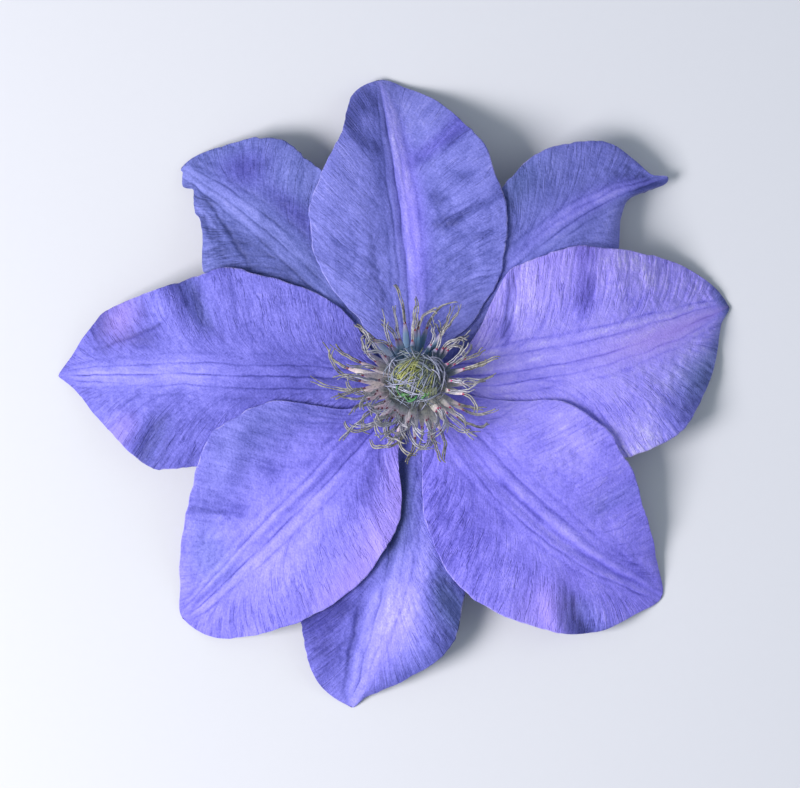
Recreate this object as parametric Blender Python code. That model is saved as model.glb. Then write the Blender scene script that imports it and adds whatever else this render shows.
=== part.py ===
"""A clematis flower as picked, lying face up on its sepals and on the cut end of its stub.

Eight sepals sit in four layers on the collar of a receptacle. A brush of stamens stands round the
pistil. Each of them is one closed piece of its own. Lengths are in millimetres and angles in degrees
until a mesh is made. The flower's own frame has its axis upright through the receptacle, and the
empty that carries every piece then brings the middle of the whole flower's footprint to the origin.
"""

import math

import bmesh
import bpy
import numpy as np

METRES = 0.001  # one millimetre
GAP = 0.3  # clearance between pieces that touch on the real flower

# Receptacle: the stub, the collar that carries the sepals, and the dome that carries the rest
STUB_RADIUS = 1.6
STUB_TOP = 4.8
COLLAR_RADIUS = 4.3
COLLAR_BOTTOM = 7.2
COLLAR_TOP = 11.6
DOME_TOP = 14.2
TURNED_STEPS = 24

# Sepals
SEAT_RADIUS = COLLAR_RADIUS + GAP
SEAT_HEIGHT = 8.0
SEPAL_THICKNESS = 0.4
LAYER_STEP = 1.0
CLAW_HALF_WIDTH = 1.5
TIP_HALF_WIDTH = 0.15
ROWS = 15
COLUMNS = 11
DRAPE_FALL = 0.1  # how steeply a sepal comes down just beside the margin of one that it lies on
DRAPE_BEND = 0.01  # how much steeper that gets with each mm from the margin
DRAPE_ROUNDING = 0.7

# Pistil: a neck under a nest of styles, leaning a little to the back
PISTIL_LEAN = 0.8
NECK_RADIUS = 1.6
NEST_RADIUS = 6.3
NEST_HEIGHT = 20.3
NEST_HALF_HEIGHT = 4.4
NEST_RINGS = 9

# Stamens: a flat filament that carries a thin dried anther
FILAMENT_WIDTHS = (0.8, 1.4, 1.4, 0.8)  # at even steps from the root to the anther
FILAMENT_THICKNESS = 0.4
ANTHER_WIDTH = 0.8
ANTHER_THICKNESS = 0.45
STAMEN_ROOM = (0.36, 0.62, 0.6, 0.5)  # half the least distance between two stamens, root to tip
NEST_ROOM = 0.6  # least distance of a stamen's middle from the pistil
STAMEN_RISE = 1.3  # least height of a stamen's middle over the sepals
FILAMENT_LENGTH = (9.6, 10.8)
ROOT_JOINTS = (8, 11, 14)  # the further out its joint, the further out a stamen's root
ROOT_RADII = (2.6, 3.3, 4.0)
STAMEN_RINGS = 12
STAMEN_SIDES = 5
PATH_STEPS = 31
MAP_REACH = 30.0  # half the side of the square that the stamens spread over
MAP_STEPS = 41
STAMEN_SEED = 17
MOST_DRAWS = 800

# The outer stamens: azimuth and radius of the joint between filament and anther, the anther's
# length, and how far the anther turns aside: to the left, or to the right where it is negative
OUTER_STAMENS = (
    (0, 11.4, 10.0, 50), (10, 12.6, 6.5, 32), (18, 11.4, 11.0, 5), (26, 12.8, 6.5, 17),
    (41, 10.4, 8.6, -17), (58, 11.7, 11.0, -11), (75, 12.5, 13.0, -76), (86, 12.1, 9.0, 7),
    (94, 9.6, 10.0, -9), (98, 13.4, 12.0, 22), (110, 10.3, 11.4, -14), (134, 13.9, 6.7, 7),
    (147, 13.0, 6.6, -127), (156, 10.4, 9.6, -71), (164, 13.6, 8.5, -20), (171, 15.6, 9.7, -83),
    (177, 12.4, 14.0, -88), (184, 13.6, 12.4, -35), (190, 11.6, 9.7, 22), (199, 11.3, 7.5, 57),
    (213, 10.6, 14.4, 23), (229, 10.8, 8.0, -91), (260, 11.3, 9.0, -92), (270, 12.8, 9.0, -48),
    (278, 10.8, 7.5, -39), (286, 13.4, 8.5, 4), (298, 12.4, 10.0, -51), (312, 10.2, 11.6, 0),
    (319, 12.8, 9.3, 74), (325, 9.8, 7.5, -12), (333, 12.5, 11.0, 83), (342, 13.2, 9.3, 77),
    (350, 11.8, 10.2, -87),
)
INNER_STAMENS = 17
INNER_SPANS = ((0, 360), (8.0, 9.8), (7.0, 10.5), (-110, 110))  # what each of those figures is drawn from

# Each sepal's azimuth and length run from the flower's axis to its tip, and bend is the midrib's bow
# to the left. left and right are the half-widths at the seven inner eighths of the blade, spaced as
# on a half circle, closer together at both ends. cup lifts the blade's two halves beside the midrib,
# droop lowers the two margins, and each wave is a fold at a margin: side, place along the blade,
# breadth along it, and height.
SEPALS = (
    dict(name="sepal_northeast", azimuth=39, length=77.5, bend=6.5, layer=0, arch=6.5, lift=2.5,
         left=(2, 3.5, 8.5, 15, 18, 14, 1.5), right=(5, 10.5, 15, 17, 15, 1.5, 1.5),
         cup=(0.6, 0.4), droop=(1.5, 3.0), waves=(("left", 0.80, 0.10, 1.2),)),
    dict(name="sepal_northwest", azimuth=137.5, length=75.5, bend=-3, layer=0, arch=6.5, lift=0.8,
         left=(4.5, 9, 14, 18, 18, 8, 2.5), right=(3.5, 6.5, 12, 18, 20, 15.5, 6.5),
         cup=(0.5, 0.8), droop=(1.0, 1.5), waves=(("left", 0.72, 0.07, 1.6), ("right", 0.82, 0.09, 1.0))),
    dict(name="sepal_south", azimuth=-101, length=79, bend=3.5, layer=0, arch=6.5, lift=0,
         left=(3.5, 6.5, 11, 17.5, 18, 10.5, 2), right=(2, 5, 11, 17.5, 20, 15.5, 10),
         cup=(0.8, 0.8), droop=(2.0, 1.2), waves=(("left", 0.75, 0.08, 0.9),)),
    dict(name="sepal_north", azimuth=97, length=72.5, bend=-1.5, layer=1, arch=6.0, lift=0.5,
         left=(4, 11.5, 19, 22, 18, 10.5, 7), right=(6.5, 15.5, 22.5, 25, 22, 15, 5.5),
         cup=(3.0, 2.2), droop=(1.0, 2.0), waves=(("right", 0.62, 0.06, -1.2), ("right", 0.80, 0.05, -0.8))),
    dict(name="sepal_west", azimuth=179, length=85, bend=-1, layer=1, arch=7.5, lift=0,
         left=(5.5, 9.5, 14.5, 22, 22.5, 13, 3), right=(3, 14.5, 22, 25, 20.5, 15, 5),
         cup=(0.8, 0.8), droop=(1.8, 1.2), waves=(("right", 0.56, 0.07, 2.0), ("left", 0.66, 0.07, 1.6))),
    dict(name="sepal_east", azimuth=13.5, length=77, bend=-4, layer=2, arch=7.0, lift=0,
         left=(2.5, 10, 24.5, 26.5, 23.5, 17.5, 9), right=(4, 8, 14.5, 25, 24, 14, 2.5),
         cup=(0.8, 0.6), droop=(1.0, 3.0), waves=(("left", 0.28, 0.06, 1.4), ("left", 0.55, 0.07, 1.2))),
    dict(name="sepal_southwest", azimuth=-134.5, length=79, bend=1.5, layer=2, arch=6.5, lift=0,
         left=(4, 8.5, 20, 22.5, 20, 15, 8.5), right=(2.5, 8, 23.5, 27, 21.5, 13, 4.5),
         cup=(1.4, 0.8), droop=(0.6, 1.6), waves=(("left", 0.45, 0.12, 0.8),)),
    dict(name="sepal_southeast", azimuth=-41, length=78, bend=-6, layer=3, arch=7.0, lift=0,
         left=(4, 13.5, 25, 27.5, 23, 14.5, 5), right=(4, 10, 19.5, 23.5, 21, 15, 5),
         cup=(1.0, 0.8), droop=(1.8, 1.4), waves=(("left", 0.60, 0.07, 1.2), ("right", 0.72, 0.06, -1.2))),
)


def hermite(values, place):
    """A smooth curve through evenly spaced values that never swings past them."""
    values = np.asarray(values, float)
    rise = np.diff(values)
    product = rise[:-1] * rise[1:]
    total = np.where(product > 0, rise[:-1] + rise[1:], 1.0)
    slope = np.zeros(len(values))
    slope[1:-1] = np.where(product > 0, 2 * product / total, 0.0)
    slope[0] = 1.5 * rise[0] - 0.5 * slope[1]
    slope[-1] = 1.5 * rise[-1] - 0.5 * slope[-2]
    i = np.clip(np.floor(place).astype(int), 0, len(values) - 2)
    t = place - i
    start = values[i] * (1 + 2 * t) * (1 - t) ** 2 + slope[i] * t * (1 - t) ** 2
    return start + values[i + 1] * t * t * (3 - 2 * t) + slope[i + 1] * t * t * (t - 1)


def half_width(sepal, side, along):
    """The blade's half-width on one side, where along runs from 0 at the seat to 1 at the tip."""
    widths = (CLAW_HALF_WIDTH, *sepal[side], TIP_HALF_WIDTH)
    return hermite(widths, np.arccos(1 - 2 * np.clip(along, 0, 1)) / math.pi * 8)


def margin_at(sepal, along, across):
    """The half-width on the side that each point across, in mm left of the midrib, lies on."""
    return np.where(across > 0, half_width(sepal, "left", along), half_width(sepal, "right", along))


def midrib(sepal, along):
    """The midrib's plan in the sepal's own frame, as x and y, and the heading that the blade's width
    is square to, which is straight out at the seat."""
    span = sepal["length"] - SEAT_RADIUS
    bow = sepal["bend"] * 4
    heading = np.arctan(bow * (1 - 2 * along) / span) * ease(along * 8)
    return SEAT_RADIUS + span * along, bow * along * (1 - along), heading


def plan_point(sepal, along, across):
    """The plan position, round the flower's axis, of a point across mm left of the midrib."""
    x, y, heading = midrib(sepal, along)
    x, y = x - across * np.sin(heading), y + across * np.cos(heading)
    turn = math.radians(sepal["azimuth"])
    return x * math.cos(turn) - y * math.sin(turn), x * math.sin(turn) + y * math.cos(turn)


def blade_place(sepal, x, y):
    """The reverse of plan_point, found by passing back and forth between the midrib and the point."""
    turn = math.radians(sepal["azimuth"])
    ahead = x * math.cos(turn) + y * math.sin(turn)
    aside = y * math.cos(turn) - x * math.sin(turn)
    along, across = (ahead - SEAT_RADIUS) / (sepal["length"] - SEAT_RADIUS), aside
    for _ in range(5):
        _, bow, heading = midrib(sepal, np.clip(along, 0, 1))
        across = (aside - bow) / np.cos(heading)
        along = (ahead + across * np.sin(heading) - SEAT_RADIUS) / (sepal["length"] - SEAT_RADIUS)
    return along, across


def ease(value):
    """A smooth step from 0 to 1."""
    value = np.clip(value, 0, 1)
    return value * value * (3 - 2 * value)


def free_height(sepal, along, across):
    """The blade's height if nothing lay under it: an arch from seat to tip with cupped halves."""
    along = np.clip(along, 0, 1)
    left = across > 0
    t = np.clip(np.abs(across) / margin_at(sepal, along, across), 0, 1)
    height = SEAT_HEIGHT * (1 - along) + sepal["arch"] * 4 * along * (1 - along)
    height = height + sepal["layer"] * LAYER_STEP * (1 - ease(along * 2))
    height = height + sepal.get("settle", 0) * ease(along / 0.6)
    cup = np.where(left, *sepal["cup"]) * t**1.5
    droop = np.where(left, *sepal["droop"]) * t**3
    height = height + (cup - droop) * np.sin(math.pi * along) ** 0.6
    for side, place, breadth, size in sepal["waves"]:
        on_side = left if side == "left" else ~left
        height = height + on_side * size * t**2 * np.exp(-(((along - place) / breadth) ** 2))
    return height


def lower_sepals(sepal):
    """Those of a lower layer that this one can lie on: the neighbours up to two places away."""
    for other in SEPALS:
        apart = abs((sepal["azimuth"] - other["azimuth"] + 180) % 360 - 180)
        if other["layer"] < sepal["layer"] and apart < 110:
            yield other


def blade_height(sepal, along, across):
    """The height of the blade's middle, lifted where it lies on a lower sepal."""
    height = free_height(sepal, along, across)
    x, y = plan_point(sepal, along, across)
    for other in lower_sepals(sepal):
        place, offset = blade_place(other, x, y)
        inside = np.clip(place, 0, 1)
        margin = margin_at(other, inside, offset)
        held = np.clip(offset, -margin, margin)
        past_tip = (place - inside) * other["length"]
        beyond = np.hypot(np.abs(offset - held), past_tip)
        support = blade_height(other, inside, held) + LAYER_STEP - DRAPE_FALL * beyond - DRAPE_BEND * beyond**2
        height = (height + support + np.sqrt((height - support) ** 2 + DRAPE_ROUNDING**2)) / 2
    return height


def blade_grid(sepal, rows, columns):
    """Places on the blade: along is spaced as on a half circle, across runs from margin to margin."""
    along = (1 - np.cos(np.linspace(0, math.pi, rows))) / 2
    share = np.linspace(-1, 1, columns)
    along, share = np.meshgrid(along, share, indexing="ij")
    return along, share * margin_at(sepal, along, share)


def settle_sepals():
    """Lowers the outer part of each blade until its lowest point is at its stated lift."""
    for sepal in sorted(SEPALS, key=lambda item: item["layer"]):
        along, across = blade_grid(sepal, 60, 41)
        underside = blade_height(sepal, along, across).min() - SEPAL_THICKNESS / 2
        sepal["settle"] = sepal["lift"] - underside


def sepal_tops(x, y):
    """The height of the highest sepal's middle over each plan point."""
    top = np.full(np.shape(x), -np.inf)
    for sepal in SEPALS:
        along, across = blade_place(sepal, x, y)
        inside = (along >= 0) & (along <= 1) & (np.abs(across) <= margin_at(sepal, along, across) + 1)
        top = np.where(inside, np.maximum(top, blade_height(sepal, along, across)), top)
    return top


def tops_map():
    """The tops of the sepals under the stamens, on a square grid of plan points."""
    grid = np.linspace(-MAP_REACH, MAP_REACH, MAP_STEPS)
    return sepal_tops(*np.meshgrid(grid, grid, indexing="ij"))


def on_map(tops, x, y):
    """The map's height at each plan point, blended between its four nearest grid points."""
    step = 2 * MAP_REACH / (MAP_STEPS - 1)
    across = np.clip((x + MAP_REACH) / step, 0, MAP_STEPS - 1.001)
    along = np.clip((y + MAP_REACH) / step, 0, MAP_STEPS - 1.001)
    i, j = across.astype(int), along.astype(int)
    u, v = across - i, along - j
    near = tops[i, j] * (1 - u) + tops[i + 1, j] * u
    far = tops[i, j + 1] * (1 - u) + tops[i + 1, j + 1] * u
    return near * (1 - v) + far * v


def nest_radius(height):
    """The radius of the pistil's outside at each height: its neck, then its rounded nest."""
    level = np.clip((height - NEST_HEIGHT) / NEST_HALF_HEIGHT, -1, 1)
    nest = NEST_RADIUS * np.sqrt(1 - level**2)
    neck = np.where((height > DOME_TOP - 3) & (height < NEST_HEIGHT), NECK_RADIUS, 0.0)
    return np.maximum(nest, neck)


def nest_lean(height):
    """How far the pistil's middle has leant to the back at each height."""
    return PISTIL_LEAN * ease((height - DOME_TOP) / (NEST_HEIGHT - DOME_TOP))


def dome_height(radius):
    """The receptacle's dome: a quarter of an ellipse from the collar to the top."""
    return COLLAR_TOP + (DOME_TOP - COLLAR_TOP) * math.sqrt(1 - (radius / COLLAR_RADIUS) ** 2)


def stamen_path(stamen, tops, draw):
    """The middle of one stamen, its heading and the joint's share of its length. The filament runs
    from its seat on the dome to the joint, its slope set by its length, and the anther turns aside
    and levels out. The path is the running sum of its steps."""
    azimuth, joint, anther, sideways = stamen
    root = np.interp(joint, ROOT_JOINTS, ROOT_RADII)
    out, toward = np.radians(azimuth + draw.uniform(-4, 4) + np.array([draw.uniform(-16, 16), 0]))
    place = root * np.array([math.cos(out), math.sin(out)])
    goal = joint * np.array([math.cos(toward), math.sin(toward)])
    reach = math.dist(goal, place)
    filament = max(draw.uniform(*FILAMENT_LENGTH), reach * 1.02)
    rise = math.degrees(math.acos(reach / filament))
    bow = np.interp(joint, (8, 13), (-14, 2)) + draw.uniform(-7, 7)
    level = draw.uniform(-30, 40)
    length = np.linspace(0, filament + anther, PATH_STEPS)
    grown = np.clip(length / filament, 0, 1)
    curl = np.clip((length - filament) / anther, 0, 1)
    heading = math.atan2(goal[1] - place[1], goal[0] - place[0]) + np.radians(sideways * curl**1.4)
    slope = rise + bow * (1 - 2 * grown)
    slope = np.radians(slope + (level - slope) * curl**0.8)
    step = length[1] - length[0]
    run = np.cos(slope)
    turns = np.stack([run * np.cos(heading), run * np.sin(heading), np.sin(slope)])
    passed = np.cumsum(turns, axis=1) - turns[:, :1]
    seat = dome_height(root) + GAP + FILAMENT_THICKNESS / 2
    x, y, z = passed * step + np.reshape((*place, seat), (3, 1))
    z = np.maximum(z, np.where(np.hypot(x, y) > 6, on_map(tops, x, y) + STAMEN_RISE, -np.inf))
    return np.stack([x, y, z], axis=1), heading, filament / (filament + anther)


def room(count):
    """Half the distance that each point along a stamen keeps from the next stamen's."""
    return hermite(STAMEN_ROOM, np.linspace(0, 3, count))


def is_clear(path, placed):
    """Whether a stamen keeps its distance from those already placed and from the pistil."""
    x, y, z = path.T
    reach = np.hypot(x, y - nest_lean(z)) - nest_radius(z)
    over = z > NEST_HEIGHT + NEST_HALF_HEIGHT + NEST_ROOM
    if not np.all((reach > NEST_ROOM) | over):
        return False
    if not placed:
        return True
    others = np.stack(placed)
    apart = np.linalg.norm(path[None, :, None] - others[:, None], axis=3)
    needed = room(PATH_STEPS)
    return bool(np.all(apart > needed[:, None] + needed))


def stamen_paths():
    """Paths for every stamen, the outer ones first, each redrawn until it is clear of the others."""
    draw = np.random.default_rng(STAMEN_SEED)
    tops = tops_map()
    found = []
    for place in range(len(OUTER_STAMENS) + INNER_STAMENS):
        for _ in range(MOST_DRAWS):
            inner = [draw.uniform(*span) for span in INNER_SPANS]
            stamen = OUTER_STAMENS[place] if place < len(OUTER_STAMENS) else inner
            path = stamen_path(stamen, tops, draw)
            if is_clear(path[0], [other[0] for other in found]):
                found.append(path)
                break
    return found


def material(name, colour, roughness):
    """A plain material with the piece's own colour."""
    made = bpy.data.materials.new(name)
    made.use_nodes = True
    shader = made.node_tree.nodes["Principled BSDF"]
    shader.inputs["Base Color"].default_value = (*colour, 1)
    shader.inputs["Roughness"].default_value = roughness
    shader.inputs["Metallic"].default_value = 0.0
    return made


def new_object(name, points, faces, finish, carrier, place=(0, 0, 0), turn=0.0):
    """A smooth-shaded object from points in mm round its own origin, carried by the flower's empty."""
    mesh = bpy.data.meshes.new(name)
    mesh.from_pydata((np.asarray(points) * METRES).tolist(), [], faces)
    shell = bmesh.new()
    shell.from_mesh(mesh)
    bmesh.ops.recalc_face_normals(shell, faces=shell.faces)
    shell.to_mesh(mesh)
    shell.free()
    mesh.shade_smooth()
    mesh.materials.append(finish)
    made = bpy.data.objects.new(name, mesh)
    bpy.context.scene.collection.objects.link(made)
    made.parent = carrier
    made.location = np.asarray(place, float) * METRES
    made.rotation_euler.z = math.radians(turn)
    return made


def ring_faces(rings, sides):
    """Quads between rings of points, each joined end to end, and a cap on the first and the last."""
    faces = []
    for ring in range(rings - 1):
        for side in range(sides):
            a = ring * sides + side
            b = ring * sides + (side + 1) % sides
            faces.append((a, b, b + sides, a + sides))
    faces.append(tuple(range(sides))[::-1])
    faces.append(tuple(range((rings - 1) * sides, rings * sides)))
    return faces


def make_sepal(sepal, finish, carrier):
    """One blade, as a single surface that Solidify gives its thickness."""
    along, across = blade_grid(sepal, ROWS, COLUMNS)
    x, y, heading = midrib(sepal, along)
    x = x - across * np.sin(heading)
    y = y + across * np.cos(heading)
    z = blade_height(sepal, along, across)
    seat = SEAT_HEIGHT + sepal["layer"] * LAYER_STEP
    points = np.stack([x - SEAT_RADIUS, y, z - seat], axis=2).reshape(-1, 3)
    faces = [
        (a, a + COLUMNS, a + COLUMNS + 1, a + 1)
        for row in range(ROWS - 1)
        for a in range(row * COLUMNS, row * COLUMNS + COLUMNS - 1)
    ]
    turn = math.radians(sepal["azimuth"])
    place = (SEAT_RADIUS * math.cos(turn), SEAT_RADIUS * math.sin(turn), seat)
    blade = new_object(sepal["name"], points, faces, finish, carrier, place, sepal["azimuth"])
    wall = blade.modifiers.new("thickness", "SOLIDIFY")
    wall.thickness = SEPAL_THICKNESS * METRES
    wall.offset = 0
    wall.use_even_offset = True


def make_turned(name, profile, finish, carrier, lean=lambda height: 0.0):
    """A body turned round the upright axis from (radius, height) points, leaning to the back."""
    turn = np.radians(np.arange(TURNED_STEPS) * 360 / TURNED_STEPS)
    rings = [
        np.stack([radius * np.cos(turn), radius * np.sin(turn) + lean(z), np.full_like(turn, z)], axis=1)
        for radius, z in profile
    ]
    return new_object(name, np.concatenate(rings), ring_faces(len(rings), TURNED_STEPS), finish, carrier)


def make_receptacle(finish, carrier):
    """The cut stub, flaring to the collar, and the dome that closes it."""
    flare = [
        (STUB_RADIUS + (COLLAR_RADIUS - STUB_RADIUS) * ease(t), STUB_TOP + (COLLAR_BOTTOM - STUB_TOP) * t)
        for t in np.linspace(0, 1, 6)
    ]
    dome = [(radius, dome_height(radius)) for radius in COLLAR_RADIUS * np.cos(np.radians([18, 36, 54, 72, 84]))]
    profile = [(STUB_RADIUS, 0), *flare, (COLLAR_RADIUS, COLLAR_TOP), *dome]
    make_turned("receptacle", profile, finish, carrier)


def make_pistil(finish, carrier):
    """The neck on the dome and the rounded nest of styles on it."""
    waist = NEST_HEIGHT - NEST_HALF_HEIGHT * math.sqrt(1 - (NECK_RADIUS / NEST_RADIUS) ** 2)
    low = math.degrees(math.asin((waist - NEST_HEIGHT) / NEST_HALF_HEIGHT))
    levels = np.radians(np.linspace(low, 82, NEST_RINGS))
    nest = [(NEST_RADIUS * math.cos(a), NEST_HEIGHT + NEST_HALF_HEIGHT * math.sin(a)) for a in levels]
    foot = (NECK_RADIUS * 0.7, DOME_TOP + GAP)
    make_turned("pistil", [foot, *nest], finish, carrier, nest_lean)


def make_stamen(name, path, finish, carrier):
    """A tube of flat rings along its path: the filament is broad, the anther thin and tapering."""
    middle, heading, joint = path
    share = np.linspace(0, 1, STAMEN_RINGS)
    steps = np.linspace(0, 1, PATH_STEPS)
    points = np.stack([np.interp(share, steps, middle[:, axis]) for axis in range(3)], axis=1)
    ahead = np.gradient(points, axis=0)
    ahead /= np.linalg.norm(ahead, axis=1, keepdims=True)
    heading = np.interp(share, steps, heading)
    aside = np.stack([-np.sin(heading), np.cos(heading), np.zeros_like(heading)], axis=1)
    above = np.cross(ahead, aside)
    above /= np.linalg.norm(above, axis=1, keepdims=True)
    tip = 1 - 0.65 * ease((share - 0.8) * 5)
    filament = hermite(FILAMENT_WIDTHS, np.clip(share / joint, 0, 1) * 3)
    width = np.where(share < joint, filament, ANTHER_WIDTH) * tip / 2
    depth = np.where(share < joint, FILAMENT_THICKNESS, ANTHER_THICKNESS) * tip / 2
    turn = np.radians(np.arange(STAMEN_SIDES) * 360 / STAMEN_SIDES)
    rings = (
        points[:, None]
        + aside[:, None] * (width[:, None] * np.cos(turn))[..., None]
        + above[:, None] * (depth[:, None] * np.sin(turn))[..., None]
    )
    root = points[0]
    shape = (rings - root).reshape(-1, 3)
    new_object(name, shape, ring_faces(STAMEN_RINGS, STAMEN_SIDES), finish, carrier, root)


def bring_to_origin(carrier):
    """Moves the empty so that the footprint's middle is at the origin and the lowest point at zero."""
    bpy.context.view_layer.update()
    graph = bpy.context.evaluated_depsgraph_get()
    corners = []
    for piece in carrier.children:
        mesh = piece.evaluated_get(graph).to_mesh()
        places = np.empty(len(mesh.vertices) * 3)
        mesh.vertices.foreach_get("co", places)
        world = np.array(piece.matrix_world)
        places = places.reshape(-1, 3) @ world[:3, :3].T + world[:3, 3]
        corners += [places.min(axis=0), places.max(axis=0)]
    low, high = np.min(corners, axis=0), np.max(corners, axis=0)
    carrier.location = (-(low[0] + high[0]) / 2, -(low[1] + high[1]) / 2, -low[2])
    bpy.context.view_layer.update()


def main():
    for old in list(bpy.data.objects):
        bpy.data.objects.remove(old, do_unlink=True)
    carrier = bpy.data.objects.new("flower_axis", None)
    bpy.context.scene.collection.objects.link(carrier)
    settle_sepals()
    violet = material("sepal_violet", (0.27, 0.22, 0.72), 0.55)
    for sepal in SEPALS:
        make_sepal(sepal, violet, carrier)
    make_receptacle(material("receptacle_green", (0.25, 0.32, 0.12), 0.6), carrier)
    make_pistil(material("pistil_silk", (0.55, 0.60, 0.30), 0.45), carrier)
    cream = material("stamen_cream", (0.62, 0.56, 0.55), 0.5)
    for number, path in enumerate(stamen_paths(), 1):
        make_stamen(f"stamen_{number:02d}", path, cream, carrier)
    bring_to_origin(carrier)


main()
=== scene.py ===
"""The looks of a clematis flower as picked, lying face up on a pale floor.

Lengths are in millimetres round the flower's own upright axis until a mesh is made, and angles in
degrees. The sepals and stamens follow the same rules as the solids they stand for, on a finer grid
and with the folds, ribs, veins and threads that the solids leave out.
"""

import math

import bpy
import numpy as np
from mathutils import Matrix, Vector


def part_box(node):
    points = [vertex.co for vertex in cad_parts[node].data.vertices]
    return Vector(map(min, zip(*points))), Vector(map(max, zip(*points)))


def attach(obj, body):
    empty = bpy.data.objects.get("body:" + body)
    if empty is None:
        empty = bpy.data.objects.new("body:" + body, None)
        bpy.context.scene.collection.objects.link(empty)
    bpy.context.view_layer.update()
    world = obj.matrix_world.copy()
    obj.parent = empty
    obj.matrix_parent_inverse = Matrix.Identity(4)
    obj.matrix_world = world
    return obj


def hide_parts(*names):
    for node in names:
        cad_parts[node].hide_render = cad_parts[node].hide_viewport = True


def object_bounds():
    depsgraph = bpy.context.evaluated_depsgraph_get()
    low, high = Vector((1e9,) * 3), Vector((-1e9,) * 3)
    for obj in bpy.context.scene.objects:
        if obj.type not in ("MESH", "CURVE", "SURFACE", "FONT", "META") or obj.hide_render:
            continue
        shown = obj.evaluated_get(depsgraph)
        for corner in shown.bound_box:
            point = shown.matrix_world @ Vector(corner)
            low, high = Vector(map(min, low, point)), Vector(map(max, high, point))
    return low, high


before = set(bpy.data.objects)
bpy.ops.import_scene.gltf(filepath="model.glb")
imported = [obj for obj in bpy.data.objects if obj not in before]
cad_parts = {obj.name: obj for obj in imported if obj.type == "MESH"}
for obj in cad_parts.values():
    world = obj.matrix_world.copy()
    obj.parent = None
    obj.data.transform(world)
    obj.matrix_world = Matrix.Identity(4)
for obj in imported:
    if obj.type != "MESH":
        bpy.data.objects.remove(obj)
CAD_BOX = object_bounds()

METRES = 0.001  # one millimetre
GAP = 0.3
LATTICE = 64  # how many random values the noise has each way before it repeats

# Receptacle
STUB_RADIUS = 1.6
STUB_TOP = 4.8
COLLAR_RADIUS = 4.3
COLLAR_BOTTOM = 7.2
COLLAR_TOP = 11.6
DOME_TOP = 14.2
STUB_SIDES = 72
STUB_RIDGES = 6
RIDGE = 0.035

# Sepals
SEAT_RADIUS = COLLAR_RADIUS + GAP
SEAT_HEIGHT = 8.0
SEPAL_THICKNESS = 0.4
MARGIN_THICKNESS = 0.18
LAYER_STEP = 1.0
CLAW_HALF_WIDTH = 1.5
TIP_HALF_WIDTH = 0.15
DRAPE_FALL = 0.1
DRAPE_BEND = 0.01
DRAPE_ROUNDING = 0.7
LYING_ANGLE = 110  # how far apart in azimuth two sepals can be and still touch
SETTLE_REACH = 0.6  # the share of the blade over which it settles on the floor
ROWS = 259
COLUMNS = 137
BAR_SHARE = 0.26  # share of the columns that the bar of three veins takes
BAR_EDGE = 3.7
TIP_REACH = 0.03  # how soon a sharpened tip takes up its full width, as a share of the length
NERVE_POWER = 1.2  # how the folds bend as they run from the bar to the margin
BROAD = 20.0  # a broad half-width, in mm, that the lean of ribs is stated for
NERVE_SWEEP = 1.2  # how far the nerves run along the bar before they bend away, as a share of its side
RIB_SWEEP = 0.8  # the same for the ribs
SWEEP_REACH = 0.17  # how soon both bend away, as a share of the broad half-width
RIB_SPACING = 1.4
VEIN_DEPTH = 0.22
NET_DEPTH = 0.09
VEIN_TONE = 0.85  # how strongly the veins show in the tone, then the net, ribs, streaks and mottle; the ribs' tone is painted shade in their grooves and painted light on their ridges
NET_TONE = 0.42
RIB_LIGHT_AND_SHADE = 0.25
DRAWN_TONE = 0.16
MOTTLE_TONE = 0.14
COMBING = 0.4  # how far the ribs show in a deep patch of pigment and painted shade
RAGGED = ((0.45, 10, 5), (0.2, 30, 5), (0.12, 70, 6))  # the margin's unevenness: in mm, waves, seed

# Pistil
PISTIL_LEAN = 0.8
NECK_RADIUS = 1.6
NEST_RADIUS = 6.3
NEST_HEIGHT = 20.3
NEST_HALF_HEIGHT = 4.4
CORE_SHARE = 0.88  # the shadowed core's size, as a share of the nest's
CORE_SIDES = 40
STYLE_RINGS = 18
STYLE_SIDES = 4
STYLE_DIP = 2.2  # how deep both ends of a style dip into the nest
STYLE_REACH = 7.5
NEST_BRIM = 1.2  # how far the styles' top reaches past the nest
COMB_TEETH = 15
COMB_START = (1.2, -2.6)
COMB_STEP = (0.27, 0.04)
COMB_HEADING = (88, 5)  # in degrees: the mean and the spread
COMB_TOOTH = (2.8, 0.45, 0.17, 0.47)  # length, lift, thickness and hue
NEST_SEED = 8

# Stamens
FILAMENT_THICKNESS = 0.4
STAMEN_ROOM = (0.36, 0.62, 0.6, 0.5)
NEST_ROOM = 0.6
STAMEN_RISE = 1.3
FILAMENT_LENGTH = (9.6, 10.8)
ROOT_JOINTS = (8, 11, 14)
ROOT_RADII = (2.6, 3.3, 4.0)
PATH_STEPS = 31
MAP_REACH = 30.0
MAP_STEPS = 41
STAMEN_SEED = 17
MOST_DRAWS = 800
AZIMUTH_STRAY = (-4, 4)  # strays, bows, slopes, twists and rolls are in degrees
ROOT_STRAY = (-16, 16)
BOW_JOINTS = (8, 13)
BOWS = (-14, 2)
BOW_STRAY = (-7, 7)
END_SLOPES = (-30, 40)
THREAD_SEED = 5
FILAMENT_RINGS = 22
FILAMENT_SIDES = 8
FILAMENT_WIDTHS = (0.8, 1.3, 1.5, 1.25, 0.5)
FILAMENT_DEPTH = 0.3
FILAMENT_BREADTHS = (0.9, 1.2)
TWISTS = (-40, 40)
ANTHER_RINGS = 34
ANTHER_SIDES = 6
ANTHER_THREAD = 0.35
ANTHER_ROLLS = ((-50, 50), (-80, 80))  # at the joint, and from there to the end
HOOKS = (-1.6, 1.6)  # how far the pair bends aside at its end, then how far its threads part
PARTINGS = (0.0, 0.9)
THREAD_ENDS = (0.82, 1.0)  # the share of the anther's length that a thread takes up

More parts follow.
